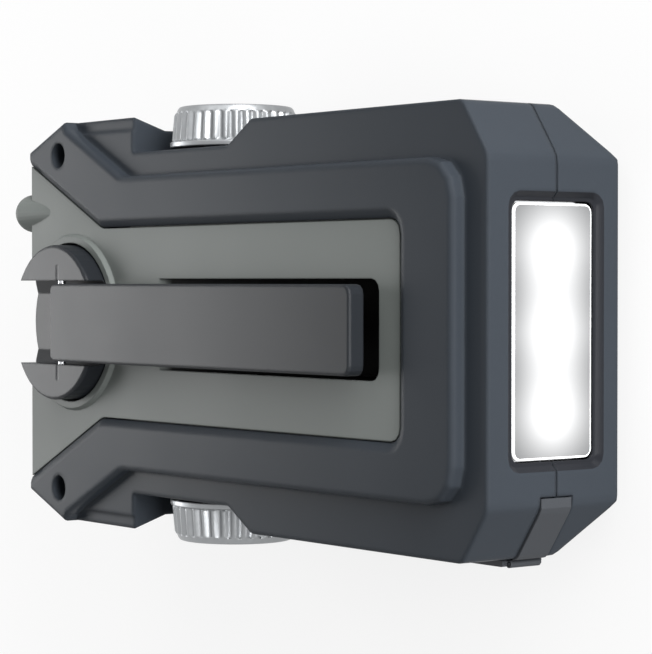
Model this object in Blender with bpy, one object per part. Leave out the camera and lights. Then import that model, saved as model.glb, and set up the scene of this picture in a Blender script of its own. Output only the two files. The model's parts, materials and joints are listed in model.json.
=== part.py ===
"""Hand crank radio flashlight, lying on its display face with the crank side up.

X runs from the crank end to the lamp end, Y across the width, Z from the display face to the crank.
"""
import math

import bpy
import bmesh
from mathutils import Matrix, Vector

# Clearances and cutter overrun
GAP = 0.0003
RUNNING_GAP = 0.0003
OVERRUN = 0.003

# Overall casing
TOTAL_LENGTH = 0.155
AERIAL_BUMP_REACH = 0.0052
HALF_WIDTH = 0.0401
WALL = 0.0022
LIP = 0.0004
NOSE_X = TOTAL_LENGTH / 2
TIP_X = -TOTAL_LENGTH / 2
END_X = TIP_X + AERIAL_BUMP_REACH

# Levels above the surface that the part lies on
FRONT_PANEL_Z = 0.0010
FRONT_EDGE_Z = 0.0023
FLANK_Z = 0.0120
SPLIT_Z = 0.0171
SHOULDER_Z = 0.0330
PANEL_Z = 0.0350
BAND_Z = 0.0359

# Casing outline
NOSE_CHAMFER_RUN = 0.0067
NOSE_RADIUS = 0.0040
CORNER_RADIUS = 0.0020
END_TAPER = 0.0052
END_HALF_WIDTH = HALF_WIDTH - END_TAPER
EDGE_RADIUS = 0.0018
BAND_EDGE_RADIUS = 0.0011
EDGE_SEGMENTS = 3

# Ears with lanyard holes
EAR_REACH = 0.0026
EAR_HALF_WIDTH = HALF_WIDTH + EAR_REACH
EAR_TIP_TAPER = 0.0058
EAR_TIP_HALF_WIDTH = EAR_HALF_WIDTH - EAR_TIP_TAPER
EAR_CORNER_FROM_END = 0.0145
EAR_DEPTH = 0.0094
EAR_STEP = 0.00005
EAR_HOLE_RADIUS = 0.0027
EAR_HOLE_FROM_END = 0.0128
EAR_HOLE_INSET = 0.0071
EAR_HOLE_Y = EAR_HALF_WIDTH - EAR_HOLE_INSET

# Side notches that the knobs stand in
NOTCH_DEPTH = 0.0048
NOTCH_HALF_WIDTH = HALF_WIDTH - NOTCH_DEPTH
NOTCH_START_FROM_END = 0.0378
NOTCH_STOP_FROM_END = 0.0721
NOTCH_RAMP_RUN = 0.0079

# Raised band round the crank panel
BAND_HALF_WIDTH = 0.0303
BAND_STOP_FROM_NOSE = 0.0060
BAND_CORNER_RADIUS = 0.0070
BAND_BEND_FROM_END = 0.0372
BAND_BEND_RADIUS = 0.0040
BAND_EAR_FROM_END = 0.0158
BAND_EAR_INSET = 0.0017
BAND_EAR_Y = EAR_HALF_WIDTH - BAND_EAR_INSET

# Crank panel and its trough
PANEL_HALF_WIDTH = 0.0200
PANEL_STOP_FROM_NOSE = 0.0210
PANEL_CORNER_RADIUS = 0.0028
PANEL_BEND_FROM_END = 0.0292
PANEL_END_MARGIN = 0.0008
PANEL_END_HALF_WIDTH = END_HALF_WIDTH - PANEL_END_MARGIN
PANEL_THICKNESS = 0.0020
PANEL_SLOPE = 0.0016
PANEL_FLANGE = 0.0016
FLANGE_Z = 0.0322
TROUGH_HALF_WIDTH = 0.0092
TROUGH_START_FROM_END = 0.0508
TROUGH_FLOOR_START_FROM_NOSE = 0.0415
TROUGH_STOP_FROM_NOSE = 0.0272
TROUGH_FLOOR_Z = 0.0205
TROUGH_CORNER_RADIUS = 0.0022
TROUGH_WALL = 0.0014

# Hub well, boss and hub
HUB_FROM_END = 0.0174
HUB_X = END_X + HUB_FROM_END
HUB_RADIUS = 0.0164
HUB_TOP_Z = 0.0402
HUB_BASE_Z = 0.0312
HUB_EDGE = 0.0006
HUB_BORE_Z = 0.0336
WELL_GAP = 0.0005
WELL_WALL = 0.0018
WELL_FLOOR_Z = 0.0308
WELL_MOUTH_HALF_WIDTH = 0.0094
RING_RADIUS = 0.0193
RING_RISE = 0.0010
SLOT_HALF_WIDTH = 0.00885
SLOT_LEDGE_Z = 0.0362
SLOT_FLOOR_HALF_WIDTH = 0.0060
SLOT_FLOOR_Z = 0.0347

# Crank arm, its pin and its folding grip
ARM_FACE_Z = 0.0412
ARM_THICKNESS = 0.0033
ARM_HALF_WIDTH = 0.0082
ARM_STOP_FROM_NOSE = 0.0280
ARM_CORNER_RADIUS = 0.0018
ARM_EDGE = 0.0005
ARM_SKIN = 0.0012
ARM_RIM = 0.0016
ARM_ROOT_LENGTH = 0.0120
ARM_TAIL = 0.0016
ARM_EYE_WALL = 0.0007
ARM_RIB_WIDTH = 0.0012
ARM_RIB_COUNT = 4
HINGE_AHEAD = 0.0020
HINGE_Z = 0.0390
HINGE_RADIUS = 0.0008
HINGE_HALF_LENGTH = 0.0118
GRIP_LENGTH = 0.0170
GRIP_HALF_WIDTH = 0.0055
GRIP_THICKNESS = 0.0024
GRIP_FROM_ARM_END = 0.0045
GRIP_PIN_Z = 0.0385
GRIP_PIN_RADIUS = 0.0006
GRIP_EDGE = 0.0007
GRIP_RIB_COUNT = 4
GRIP_RIB_DEPTH = 0.0004
GRIP_RIB_WIDTH = 0.0012
GRIP_RIB_PITCH = 0.0026

# Gear train between the crank and the generator
MODULE = 0.0008
DRIVE_TEETH = 34
PINION_TEETH = 12
FIRST_WHEEL_TEETH = 32
SECOND_WHEEL_TEETH = 30
GEAR_THICKNESS = 0.0030
GEAR_LEVEL_GAP = 0.0005
GEAR_BASE_Z = 0.0160
FIRST_IDLER_ANGLE = -35
SECOND_IDLER_ANGLE = 60
GENERATOR_ANGLE = -20
ADDENDUM_SHARE = 0.72
DEDENDUM_SHARE = 1.05
TOOTH_ROOT_SHARE = 0.31
TOOTH_TIP_SHARE = 0.11
SHAFT_RADIUS = 0.0025
SHAFT_SIDES = 32
IDLER_PIN_RADIUS = 0.0010
BUSH_RADIUS = 0.0045
PLATE_THICKNESS = 0.0016
PLATE_Z = 0.0136
COVER_Z = 0.0270
COVER_THICKNESS = 0.0017
GEARBOX_POST_RADIUS = 0.0026
GEARBOX_REACH = 0.0050
GEARBOX_HALF_WIDTH = 0.0195
GENERATOR_RADIUS = 0.0105
GENERATOR_Z = 0.0032
GENERATOR_BORE_DEPTH = 0.0036
ROTOR_SHAFT_RADIUS = 0.0010

# Knobs on the two long sides
KNOB_FROM_END = 0.0523
KNOB_X = END_X + KNOB_FROM_END
KNOB_RADIUS = 0.0131
KNOB_SEAT = 0.0007
KNOB_HEIGHT = 0.0084
KNOB_RING_HEIGHT = 0.0011
KNOB_RING_MARGIN = 0.0004
KNOB_RIM = 0.0016
KNOB_RIM_RISE = 0.0013
KNOB_DISH = 0.0006
KNOB_RIB_COUNT = 36
KNOB_RIB_DEPTH = 0.0006
KNOB_RIB_SHARES = (0.0, 0.18, 0.62, 0.80)
KNOB_SHAFT_RADIUS = 0.0030
KNOB_BORE_DEPTH = 0.0050
POT_HALF_SIZE = 0.0060
POT_DEPTH = 0.0070
POT_FLOOR = 0.0030

# Lamp in the nose
LENS_HALF_WIDTH = 0.0224
LENS_HALF_HEIGHT = 0.0093
LENS_RADIUS = 0.0016
LENS_THICKNESS = 0.0016
BEZEL_MARGIN = 0.0019
BEZEL_DEPTH = 0.0010
NOSE_MARGIN = 0.0062
NOSE_HALF_WIDTH = LENS_HALF_WIDTH + BEZEL_MARGIN + NOSE_MARGIN
LENS_FLANGE = 0.0008
LENS_FLANGE_DEPTH = 0.0018
REFLECTOR_DEPTH = 0.0070
REFLECTOR_MARGIN = 0.0006
LAMP_COUNT = 3
LAMP_PITCH = 0.0140
BOWL_RADIUS = 0.0064
BOWL_FOOT_RADIUS = 0.0026
LAMP_BOARD_THICKNESS = 0.0014
LED_RADIUS = 0.0014
LED_HEIGHT = 0.0020
LED_STRIP_HEIGHT = 0.0006

# Aerial in the bump beside the crank
AERIAL_Y = 0.0236
AERIAL_Z = 0.0296
BUMP_HALF_WIDTH = 0.0045
BUMP_HALF_HEIGHT = 0.0052
BUMP_Z = 0.0320
BUMP_ROUND = 0.0022
BUMP_FADE_FROM_END = 0.0090
BUMP_FADE_SHARE = 0.45
AERIAL_LENGTH = 0.1050
SHEATH_RADIUS = 0.0022
SHEATH_BORE = 0.0019
MIDDLE_RADIUS = 0.0016
MIDDLE_BORE = 0.0012
INNER_RADIUS = 0.0009
AERIAL_CAP_RADIUS = 0.0017
AERIAL_CAP_LENGTH = 0.0030
AERIAL_STEP = 0.0020
SHEATH_START_X = TIP_X + LIP + AERIAL_CAP_LENGTH + 2 * LIP

# Display face: band, panel, display, keys and speaker
FRONT_BAND_HALF_WIDTH = 0.0298
FLANK_MARGIN = 0.0002
FLANK_HALF_WIDTH = FRONT_BAND_HALF_WIDTH + FLANK_MARGIN
FRONT_BAND_FROM_END = 0.0040
FRONT_BAND_FROM_NOSE = 0.0050
FRONT_BAND_RADIUS = 0.0040
FRONT_PANEL_HALF_WIDTH = 0.0208
FRONT_PANEL_FROM_END = 0.0095
FRONT_PANEL_FROM_NOSE = 0.0120
FRONT_PANEL_RADIUS = 0.0040
FRONT_PANEL_THICKNESS = 0.0018
FRONT_FLANGE = 0.0014
FRONT_FLANGE_THICKNESS = 0.0008
FRONT_PANEL_INNER_Z = FRONT_PANEL_Z + FRONT_PANEL_THICKNESS
WINDOW_FROM_NOSE = 0.0260
WINDOW_LENGTH = 0.0380
WINDOW_Y = 0.0015
WINDOW_HALF_WIDTH = 0.0100
WINDOW_RADIUS = 0.0015
WINDOW_THICKNESS = 0.0012
DISPLAY_THICKNESS = 0.0020
DISPLAY_MARGIN = 0.0010
KEY_NAMES = ("power_key", "mode_key", "lamp_key", "scan_down_key", "scan_up_key")
KEY_COUNT = len(KEY_NAMES)
KEY_PITCH = 0.0090
KEY_Y = -0.0158
KEY_HALF_LENGTH = 0.0034
KEY_HALF_WIDTH = 0.0022
KEY_RADIUS = 0.0010
KEY_PROUD = 0.0004
KEY_FLANGE = 0.0006
KEY_FLANGE_THICKNESS = 0.0006
SWITCH_HALF_SIZE = 0.0022
SWITCH_HEIGHT = 0.0010
SPEAKER_FROM_END = 0.0280
SPEAKER_RADIUS = 0.0165
SPEAKER_RIM = 0.0022
SPEAKER_DEPTH = 0.0050
CONE_WALL = 0.0006
CONE_FOOT_RADIUS = 0.0060
MAGNET_RADIUS = 0.0095
MAGNET_THICKNESS = 0.0035
GRILLE_SLOT_COUNT = 9
GRILLE_PITCH = 0.0032
GRILLE_SLOT_WIDTH = 0.0015
GRILLE_RADIUS = 0.0140

# Boards, battery, ferrite aerial and charging ports
BOARD_THICKNESS = 0.0014
BOARD_Z = 0.0056
BOARD_FROM_NOSE = 0.0175
BOARD_LENGTH = 0.0600
BOARD_LOW_Y = -0.0220
BOARD_HIGH_Y = 0.0114
BOARD_POST_RADIUS = 0.0016
BOARD_POST_INSET = 0.0019
BOARD_POST_LOW_Y = -0.0184
CELL_RADIUS = 0.0091
CELL_FROM_NOSE = 0.0210
CELL_FROM_CONTROL = 0.0055
CELL_END_X = KNOB_X + POT_HALF_SIZE + CELL_FROM_CONTROL
CELL_Y = 0.0217
CELL_Z = 0.0147
CELL_CAP_RADIUS = 0.0032
CELL_CAP_HEIGHT = 0.0008
CRADLE_WALL = 0.0010
CRADLE_HALF_WIDTH = 0.0062
ROD_RADIUS = 0.0040
ROD_LENGTH = 0.0500
ROD_FROM_NOSE = 0.0240
ROD_Y = -0.0200
ROD_Z = 0.0250
COIL_RADIUS = 0.0055
COIL_LENGTH = 0.0180
ROD_HOLDER_WALL = 0.0016
PORT_FROM_NOSE = 0.0230
PORT_HALF_LENGTH = 0.0070
PORT_HALF_HEIGHT = 0.0034
PORT_DEPTH = 0.0100
PORT_WALL = 0.0005
PORT_BOARD_LENGTH = 0.0220
PORT_BOARD_DEPTH = 0.0072
PORT_BOARD_INSET = 0.0014

# Rubber port cover and its strap over the nose chamfer
COVER_FROM_NOSE = 0.0086
COVER_LENGTH = 0.0215
COVER_HALF_HEIGHT = 0.0046
COVER_RISE = 0.0012
COVER_EDGE = 0.0004
COVER_KNUCKLE_RADIUS = 0.0007
COVER_PIN_RADIUS = 0.0003
STRAP_HALF_WIDTH = 0.0035
STRAP_RISE = 0.0003
STRAP_DEPTH = 0.0005
STRAP_STOP_Y = 0.0290

# Casing screws and their bosses
SCREW_NAMES = ("end_screw_one", "end_screw_two", "nose_screw_one", "nose_screw_two")
END_SCREW_FROM_END = 0.0078
END_SCREW_Y = 0.0255
NOSE_SCREW_FROM_NOSE = 0.0159
NOSE_SCREW_Y = 0.0257
SCREW_HEAD_RADIUS = 0.0021
SCREW_HEAD_HEIGHT = 0.0014
SCREW_RADIUS = 0.0011
SCREW_HEAD_TOP_Z = 0.0046
SCREW_SLOT_SHARE = 0.6
SCREW_TIP_Z = 0.0250
SCREW_SLOT_HALF_WIDTH = 0.0003
BOSS_RADIUS = 0.0027
BOSS_FOOT_RADIUS = 0.0031
BOSS_FOOT_TOP_Z = 0.0052
END_BOSS_TOP_Z = 0.0266
WEB_THICKNESS = 0.0016
EAR_TUBE_WALL = 0.0012

# Roundness of turned pieces
ROUND_SIDES = 48
SMALL_SIDES = 16
ARC_STEP = math.radians(30)

for existing in list(bpy.data.objects):
    bpy.data.objects.remove(existing, do_unlink=True)

PARTS = bpy.data.collections.new("hand_crank_radio_flashlight")
CUTTERS = bpy.data.collections.new("cutters")
bpy.context.scene.collection.children.link(PARTS)
bpy.context.scene.collection.children.link(CUTTERS)


def plain_material(name, colour, roughness, metallic=0.0):
    """A Principled material with one colour."""
    material = bpy.data.materials.new(name)
    material.use_nodes = True
    shader = material.node_tree.nodes["Principled BSDF"]
    shader.inputs["Base Color"].default_value = (*colour, 1)
    shader.inputs["Roughness"].default_value = roughness
    shader.inputs["Metallic"].default_value = metallic
    return material


SLATE = plain_material("slate_rubber", (0.045, 0.052, 0.062), 0.55)
GREEN_GREY = plain_material("green_grey_shell", (0.19, 0.205, 0.195), 0.5)
DARK_PLASTIC = plain_material("dark_plastic", (0.05, 0.052, 0.058), 0.45)
BLACK = plain_material("black_plastic", (0.012, 0.012, 0.013), 0.5)
SILVER = plain_material("silver_knob", (0.66, 0.67, 0.69), 0.28, 0.9)
STEEL = plain_material("steel", (0.55, 0.56, 0.58), 0.3, 1.0)
BRASS = plain_material("brass", (0.66, 0.47, 0.2), 0.35, 1.0)
COPPER = plain_material("copper_wire", (0.55, 0.24, 0.11), 0.4, 1.0)
CLEAR = plain_material("clear_lens", (0.9, 0.93, 0.95), 0.08)
MIRROR = plain_material("reflector", (0.85, 0.86, 0.88), 0.12, 1.0)
BOARD = plain_material("board", (0.015, 0.12, 0.05), 0.5)
LED = plain_material("led", (0.95, 0.93, 0.75), 0.3)
GEAR = plain_material("gear_nylon", (0.78, 0.77, 0.72), 0.45)
FERRITE = plain_material("ferrite", (0.06, 0.055, 0.055), 0.6)
CELL = plain_material("cell_sleeve", (0.05, 0.16, 0.33), 0.4)
PAPER = plain_material("speaker_cone", (0.03, 0.03, 0.03), 0.8)
GLASS = plain_material("display_glass", (0.25, 0.29, 0.26), 0.15)
RUBBER = plain_material("port_rubber", (0.03, 0.033, 0.038), 0.7)


def part(solid, name, material):
    """Name a finished solid and put it among the parts."""
    solid.name = name
    solid.data.name = name
    solid.data.materials.clear()
    solid.data.materials.append(material)
    for holder in list(solid.users_collection):
        holder.objects.unlink(solid)
    PARTS.objects.link(solid)
    solid.hide_render = False
    solid.display_type = "TEXTURED"
    solid.data.shade_smooth()
    solid.data.set_sharp_from_angle(angle=math.radians(30))
    return solid


def tool(mesh, name="tool"):
    """An object that only cuts or joins."""
    solid = bpy.data.objects.new(name, mesh)
    CUTTERS.objects.link(solid)
    solid.hide_render = True
    solid.display_type = "WIRE"
    return solid


def combine(solid, other, operation):
    """One exact Boolean between a solid and a tool."""
    step = solid.modifiers.new(operation.lower(), "BOOLEAN")
    step.operation = operation
    step.solver = "EXACT"
    step.object = other
    return solid


def cut(solid, *others):
    """Take tools away from a solid."""
    for other in others:
        combine(solid, other, "DIFFERENCE")
    return solid


def join(solid, *others):
    """Add tools to a solid."""
    for other in others:
        combine(solid, other, "UNION")
    return solid


def keep(solid, other):
    """Keep only what lies inside a tool."""
    return combine(solid, other, "INTERSECT")


def round_corners(corners):
    """The points of an outline whose corners are given as x, y and radius."""
    points = []
    count = len(corners)
    for index, (x, y, radius) in enumerate(corners):
        here = Vector((x, y))
        back = (Vector(corners[index - 1][:2]) - here).normalized()
        ahead = (Vector(corners[(index + 1) % count][:2]) - here).normalized()
        opening = back.angle(ahead)
        if radius <= 0:
            points.append(here)
            continue
        start = here + back * (radius / math.tan(opening / 2))
        centre = here + (back + ahead).normalized() * (radius / math.sin(opening / 2))
        sweep = math.pi - opening
        if back.cross(ahead) > 0:
            sweep = -sweep
        steps = max(1, math.ceil(abs(sweep) / ARC_STEP))
        for step in range(steps + 1):
            points.append(centre + Matrix.Rotation(sweep * step / steps, 2) @ (start - centre))
    return points


def inset(corners, distance):
    """An outline with every side moved inward, and round corners kept on their centres."""
    moved = []
    count = len(corners)
    for index, (x, y, radius) in enumerate(corners):
        here = Vector((x, y))
        along_in = (here - Vector(corners[index - 1][:2])).normalized()
        along_out = (Vector(corners[(index + 1) % count][:2]) - here).normalized()
        inward_in = Vector((-along_in.y, along_in.x))
        inward_out = Vector((-along_out.y, along_out.x))
        middle = (inward_in + inward_out).normalized()
        place = here + middle * (distance / middle.dot(inward_in))
        if radius > 0:
            change = -distance if along_in.cross(along_out) > 0 else distance
            radius = max(radius + change, LIP)
        moved.append((place.x, place.y, radius))
    return moved


def mirrored(half):
    """A closed outline from its half at positive Y, listed from the lamp end to the crank end."""
    other = [(x, -y, radius) for x, y, radius in reversed(half)]
    return half + other


def prism(corners, low, high):
    """A flat outline raised from one level to another."""
    curve = bpy.data.curves.new("outline", "CURVE")
    curve.dimensions = "2D"
    curve.fill_mode = "BOTH"
    curve.extrude = (high - low) / 2
    points = round_corners(corners)
    spline = curve.splines.new("POLY")
    spline.points.add(len(points) - 1)
    for target, point in zip(spline.points, points):
        target.co = (point.x, point.y, 0, 1)
    spline.use_cyclic_u = True
    shape = bpy.data.objects.new("outline", curve)
    CUTTERS.objects.link(shape)
    bpy.context.view_layer.update()
    seen = shape.evaluated_get(bpy.context.evaluated_depsgraph_get())
    mesh = bpy.data.meshes.new_from_object(seen)
    bpy.data.objects.remove(shape)
    work = bmesh.new()
    work.from_mesh(mesh)
    bmesh.ops.remove_doubles(work, verts=work.verts, dist=GAP / 100)
    bmesh.ops.dissolve_limit(work, angle_limit=math.radians(1), verts=work.verts, edges=work.edges)
    bmesh.ops.recalc_face_normals(work, faces=work.faces)
    bmesh.ops.translate(work, verts=work.verts, vec=(0, 0, (low + high) / 2))
    work.to_mesh(mesh)
    work.free()
    return tool(mesh)


def tapered(corners, growth, low, high):
    """A prism that widens from its outline at the low level to a grown one at the high level."""
    wide = inset(corners, -growth)
    solid = prism(wide, low, high)
    pairs = list(zip(round_corners(wide), round_corners(corners)))
    for vert in solid.data.vertices:
        if abs(vert.co.z - low) < GAP / 10:
            nearest = min(pairs, key=lambda pair: (pair[0] - vert.co.xy).length)
            vert.co.xy = nearest[1]
    return solid


def along_y(solid):
    """Turn a prism so that its outline's second value is its height, and its levels run along Y."""
    solid.data.transform(Matrix(((1, 0, 0, 0), (0, 0, 1, 0), (0, 1, 0, 0), (0, 0, 0, 1))))
    solid.data.flip_normals()
    return solid


def along_x(solid):
    """Turn a prism so that its outline lies in Y and Z, and its levels run along X."""
    solid.data.transform(Matrix(((0, 0, 1, 0), (1, 0, 0, 0), (0, 1, 0, 0), (0, 0, 0, 1))))
    return solid


def soften(solid, width, segments, chosen):
    """Round the edges whose two ends both satisfy a test."""
    work = bmesh.new()
    work.from_mesh(solid.data)
    edges = [edge for edge in work.edges
             if len(edge.link_faces) == 2 and edge.calc_face_angle() > ARC_STEP
             and all(chosen(vert.co) for vert in edge.verts)]
    bmesh.ops.bevel(work, geom=edges, offset=width, segments=segments, profile=0.5,
                    affect="EDGES", material=-1, clamp_overlap=True)
    work.to_mesh(solid.data)
    work.free()
    return solid


def at_level(level):
    """A test for points on a level plane."""
    return lambda place: abs(place.z - level) < GAP / 10


def cylinder(radius, low, high, x=0.0, y=0.0, top_radius=None, sides=ROUND_SIDES):
    """An upright cylinder or cone."""
    mesh = bpy.data.meshes.new("cylinder")
    work = bmesh.new()
    end_radius = radius if top_radius is None else top_radius
    bmesh.ops.create_cone(work, cap_ends=True, segments=sides, radius1=radius, radius2=end_radius,
                          depth=high - low, matrix=Matrix.Translation((x, y, (low + high) / 2)))
    work.to_mesh(mesh)
    work.free()
    return tool(mesh)


def box(low_x, high_x, low_y, high_y, low_z, high_z):
    """A block between two corners."""
    mesh = bpy.data.meshes.new("block")
    work = bmesh.new()
    bmesh.ops.create_cube(work, size=1)
    size = (high_x - low_x, high_y - low_y, high_z - low_z)
    middle = ((low_x + high_x) / 2, (low_y + high_y) / 2, (low_z + high_z) / 2)
    bmesh.ops.scale(work, verts=work.verts, vec=size)
    bmesh.ops.translate(work, verts=work.verts, vec=middle)
    work.to_mesh(mesh)
    work.free()
    return tool(mesh)


def rod_along(axis, radius, low, high, first, second, sides=SMALL_SIDES):
    """A cylinder along X or Y, whose other two coordinates are given."""
    solid = cylinder(radius, low, high, sides=sides)
    turn = Matrix.Rotation(math.pi / 2, 4, "Y")
    place = Matrix.Translation((0, first, second))
    if axis == "Y":
        turn = Matrix.Rotation(-math.pi / 2, 4, "X")
        place = Matrix.Translation((first, 0, second))
    solid.data.transform(place @ turn)
    return solid


def rounded_block(low_x, high_x, low_y, high_y, low_z, high_z, radius):
    """A block with round upright corners."""
    corners = [(high_x, low_y, radius), (high_x, high_y, radius),
               (low_x, high_y, radius), (low_x, low_y, radius)]
    return prism(corners, low_z, high_z)


def set_origin(solid, place):
    """Put an object's origin on its joint without moving its shape."""
    solid.data.transform(Matrix.Translation(Vector(place) * -1))
    solid.location = place
    return solid


# Shared places
NOTCH_START_X = END_X + NOTCH_START_FROM_END
NOTCH_STOP_X = END_X + NOTCH_STOP_FROM_END
FLOOR_Z = FRONT_EDGE_Z + WALL
CEILING_Z = SHOULDER_Z - WALL
BAND_CEILING_Z = BAND_Z - WALL
BACK_LOW_Z = SPLIT_Z + GAP / 2
FRONT_HIGH_Z = SPLIT_Z - GAP / 2
ARM_STOP_X = NOSE_X - ARM_STOP_FROM_NOSE
ARM_UNDERSIDE_Z = ARM_FACE_Z - ARM_THICKNESS
HINGE_X = HUB_X + HINGE_AHEAD
GRIP_X = ARM_STOP_X - GRIP_FROM_ARM_END
WELL_RADIUS = HUB_RADIUS + WELL_GAP
END_SCREWS = [(END_X + END_SCREW_FROM_END, side * END_SCREW_Y) for side in (-1, 1)]
NOSE_SCREWS = [(NOSE_X - NOSE_SCREW_FROM_NOSE, side * NOSE_SCREW_Y) for side in (-1, 1)]
SCREW_PLACES = END_SCREWS + NOSE_SCREWS
EAR_HOLE_X = END_X + EAR_HOLE_FROM_END
SPEAKER_X = END_X + SPEAKER_FROM_END
WINDOW_X = NOSE_X - WINDOW_FROM_NOSE - WINDOW_LENGTH / 2
PORT_X = NOSE_X - PORT_FROM_NOSE

BODY_OUTLINE = mirrored([
    (NOSE_X, NOSE_HALF_WIDTH, NOSE_RADIUS),
    (NOSE_X - NOSE_CHAMFER_RUN, HALF_WIDTH, CORNER_RADIUS),
    (NOTCH_STOP_X + NOTCH_RAMP_RUN, HALF_WIDTH, CORNER_RADIUS),
    (NOTCH_STOP_X, NOTCH_HALF_WIDTH, CORNER_RADIUS),
    (NOTCH_START_X, NOTCH_HALF_WIDTH, LIP),
    (NOTCH_START_X, HALF_WIDTH, LIP),
    (END_X + EAR_CORNER_FROM_END, HALF_WIDTH, CORNER_RADIUS),
    (END_X, END_HALF_WIDTH, CORNER_RADIUS),
])
FLARE_OUTLINE = mirrored([
    (NOTCH_START_X, PANEL_HALF_WIDTH, 0),
    (NOTCH_START_X, EAR_HALF_WIDTH, LIP),
    (END_X + EAR_CORNER_FROM_END, EAR_HALF_WIDTH, LIP),
    (END_X, EAR_TIP_HALF_WIDTH, LIP),
])
BAND_OUTLINE = mirrored([
    (NOSE_X - BAND_STOP_FROM_NOSE, BAND_HALF_WIDTH, BAND_CORNER_RADIUS),
    (END_X + BAND_BEND_FROM_END, BAND_HALF_WIDTH, BAND_BEND_RADIUS),
    (END_X + BAND_EAR_FROM_END, BAND_EAR_Y, 0),
    (END_X + EAR_CORNER_FROM_END, EAR_HALF_WIDTH - EAR_STEP, 0),
    (END_X + EAR_STEP, EAR_TIP_HALF_WIDTH - EAR_STEP, 0),
])
BAND_HOLLOW = mirrored([
    (NOSE_X - BAND_STOP_FROM_NOSE - WALL, BAND_HALF_WIDTH - WALL, BAND_CORNER_RADIUS - WALL),
    (END_X + BAND_BEND_FROM_END, BAND_HALF_WIDTH - WALL, 0),
])
FRONT_BAND_OUTLINE = mirrored([
    (NOSE_X - FRONT_BAND_FROM_NOSE, FRONT_BAND_HALF_WIDTH, FRONT_BAND_RADIUS),
    (END_X + FRONT_BAND_FROM_END, FRONT_BAND_HALF_WIDTH, FRONT_BAND_RADIUS),
])
FRONT_PANEL_OUTLINE = mirrored([
    (NOSE_X - FRONT_PANEL_FROM_NOSE, FRONT_PANEL_HALF_WIDTH, FRONT_PANEL_RADIUS),
    (END_X + FRONT_PANEL_FROM_END, FRONT_PANEL_HALF_WIDTH, FRONT_PANEL_RADIUS),
])


def panel_outline(reach):
    """The crank panel's outline, run a little past the end of the casing."""
    return mirrored([
        (NOSE_X - PANEL_STOP_FROM_NOSE, PANEL_HALF_WIDTH, PANEL_CORNER_RADIUS),
        (END_X + PANEL_BEND_FROM_END, PANEL_HALF_WIDTH, PANEL_CORNER_RADIUS),
        (END_X, PANEL_END_HALF_WIDTH, 0),
        (END_X - reach, PANEL_END_HALF_WIDTH, 0),
    ])


def trough_side(low_z, high_z):
    """The trough's outline seen from the side, with its long ramp towards the crank hub."""
    share = (PANEL_Z - min(high_z, PANEL_Z)) / (PANEL_Z - low_z)
    start = END_X + TROUGH_START_FROM_END
    floor_start = NOSE_X - TROUGH_FLOOR_START_FROM_NOSE
    stop = NOSE_X - TROUGH_STOP_FROM_NOSE
    ramp_top = start + (floor_start - start) * share
    corners = [(stop, low_z, 0), (stop, high_z, 0), (ramp_top, high_z, 0)]
    if high_z > PANEL_Z:
        corners.append((start, PANEL_Z, 0))
    return corners + [(floor_start, low_z, 0)]


def lamp_outline(margin, radius):
    """The lamp's rounded shape across Y and Z."""
    half_width = LENS_HALF_WIDTH + margin
    half_height = LENS_HALF_HEIGHT + margin
    return [(half_width, SPLIT_Z - half_height, radius), (half_width, SPLIT_Z + half_height, radius),
            (-half_width, SPLIT_Z + half_height, radius), (-half_width, SPLIT_Z - half_height, radius)]


def lamp_block(margin, depth, thickness, radius=LENS_RADIUS):
    """A block in the lamp's shape whose front lies at a depth behind the nose face."""
    front = NOSE_X - depth
    return along_x(prism(lamp_outline(margin, radius), front - thickness, front))


LENS_BACK = BEZEL_DEPTH + LENS_THICKNESS
REFLECTOR_FRONT = LENS_BACK + GAP
LAMP_BOARD_FRONT = REFLECTOR_FRONT + REFLECTOR_DEPTH + LED_STRIP_HEIGHT + GAP
LAMP_YS = [LAMP_PITCH * (index - (LAMP_COUNT - 1) / 2) for index in range(LAMP_COUNT)]


def lamp_cutters():
    """Bezel recess, lens opening and flange rebate, from the nose face inwards."""
    floor = NOSE_X - BEZEL_DEPTH
    bevel = BEZEL_DEPTH + OVERRUN
    mouth = lamp_outline(BEZEL_MARGIN - BEZEL_DEPTH, LENS_RADIUS)
    recess = along_x(tapered(mouth, bevel, floor, floor + bevel))
    opening = lamp_block(GAP, -OVERRUN, LENS_BACK + 2 * OVERRUN)
    rebate = lamp_block(LENS_FLANGE + GAP, LENS_FLANGE_DEPTH - GAP, LENS_BACK + 2 * OVERRUN)
    return recess, opening, rebate


def knob_hole(side):
    """A round hole through one side notch, on the knob's axis."""
    ends = sorted((side * (NOTCH_HALF_WIDTH - WALL - OVERRUN), side * (NOTCH_HALF_WIDTH + OVERRUN)))
    return rod_along("Y", KNOB_SHAFT_RADIUS + RUNNING_GAP, *ends, KNOB_X, SPLIT_Z, ROUND_SIDES // 2)


def flank_wedge(side, inward):
    """The long corner between the side and the display face, cut away at a slant."""
    rise = (FLANK_Z - FRONT_EDGE_Z) / (HALF_WIDTH - FLANK_HALF_WIDTH)
    top_y = HALF_WIDTH + OVERRUN
    low_y = FLANK_HALF_WIDTH - OVERRUN / rise
    slant = math.hypot(1, rise) * inward
    corners = [
        (side * low_y, FRONT_EDGE_Z - OVERRUN + slant, 0),
        (side * low_y, FRONT_EDGE_Z - 2 * OVERRUN, 0),
        (side * top_y, FRONT_EDGE_Z - 2 * OVERRUN, 0),
        (side * top_y, FLANK_Z + rise * OVERRUN + slant, 0),
    ]
    if side < 0:
        corners.reverse()
    return along_x(prism(corners, END_X - OVERRUN, NOSE_X + OVERRUN))


def port_window():
    """The opening in the side wall that the charging port looks out of."""
    return box(PORT_X - PORT_HALF_LENGTH - GAP, PORT_X + PORT_HALF_LENGTH + GAP,
               -HALF_WIDTH - OVERRUN, WALL + OVERRUN - HALF_WIDTH,
               SPLIT_Z - PORT_HALF_HEIGHT - GAP, SPLIT_Z + PORT_HALF_HEIGHT + GAP)


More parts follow.
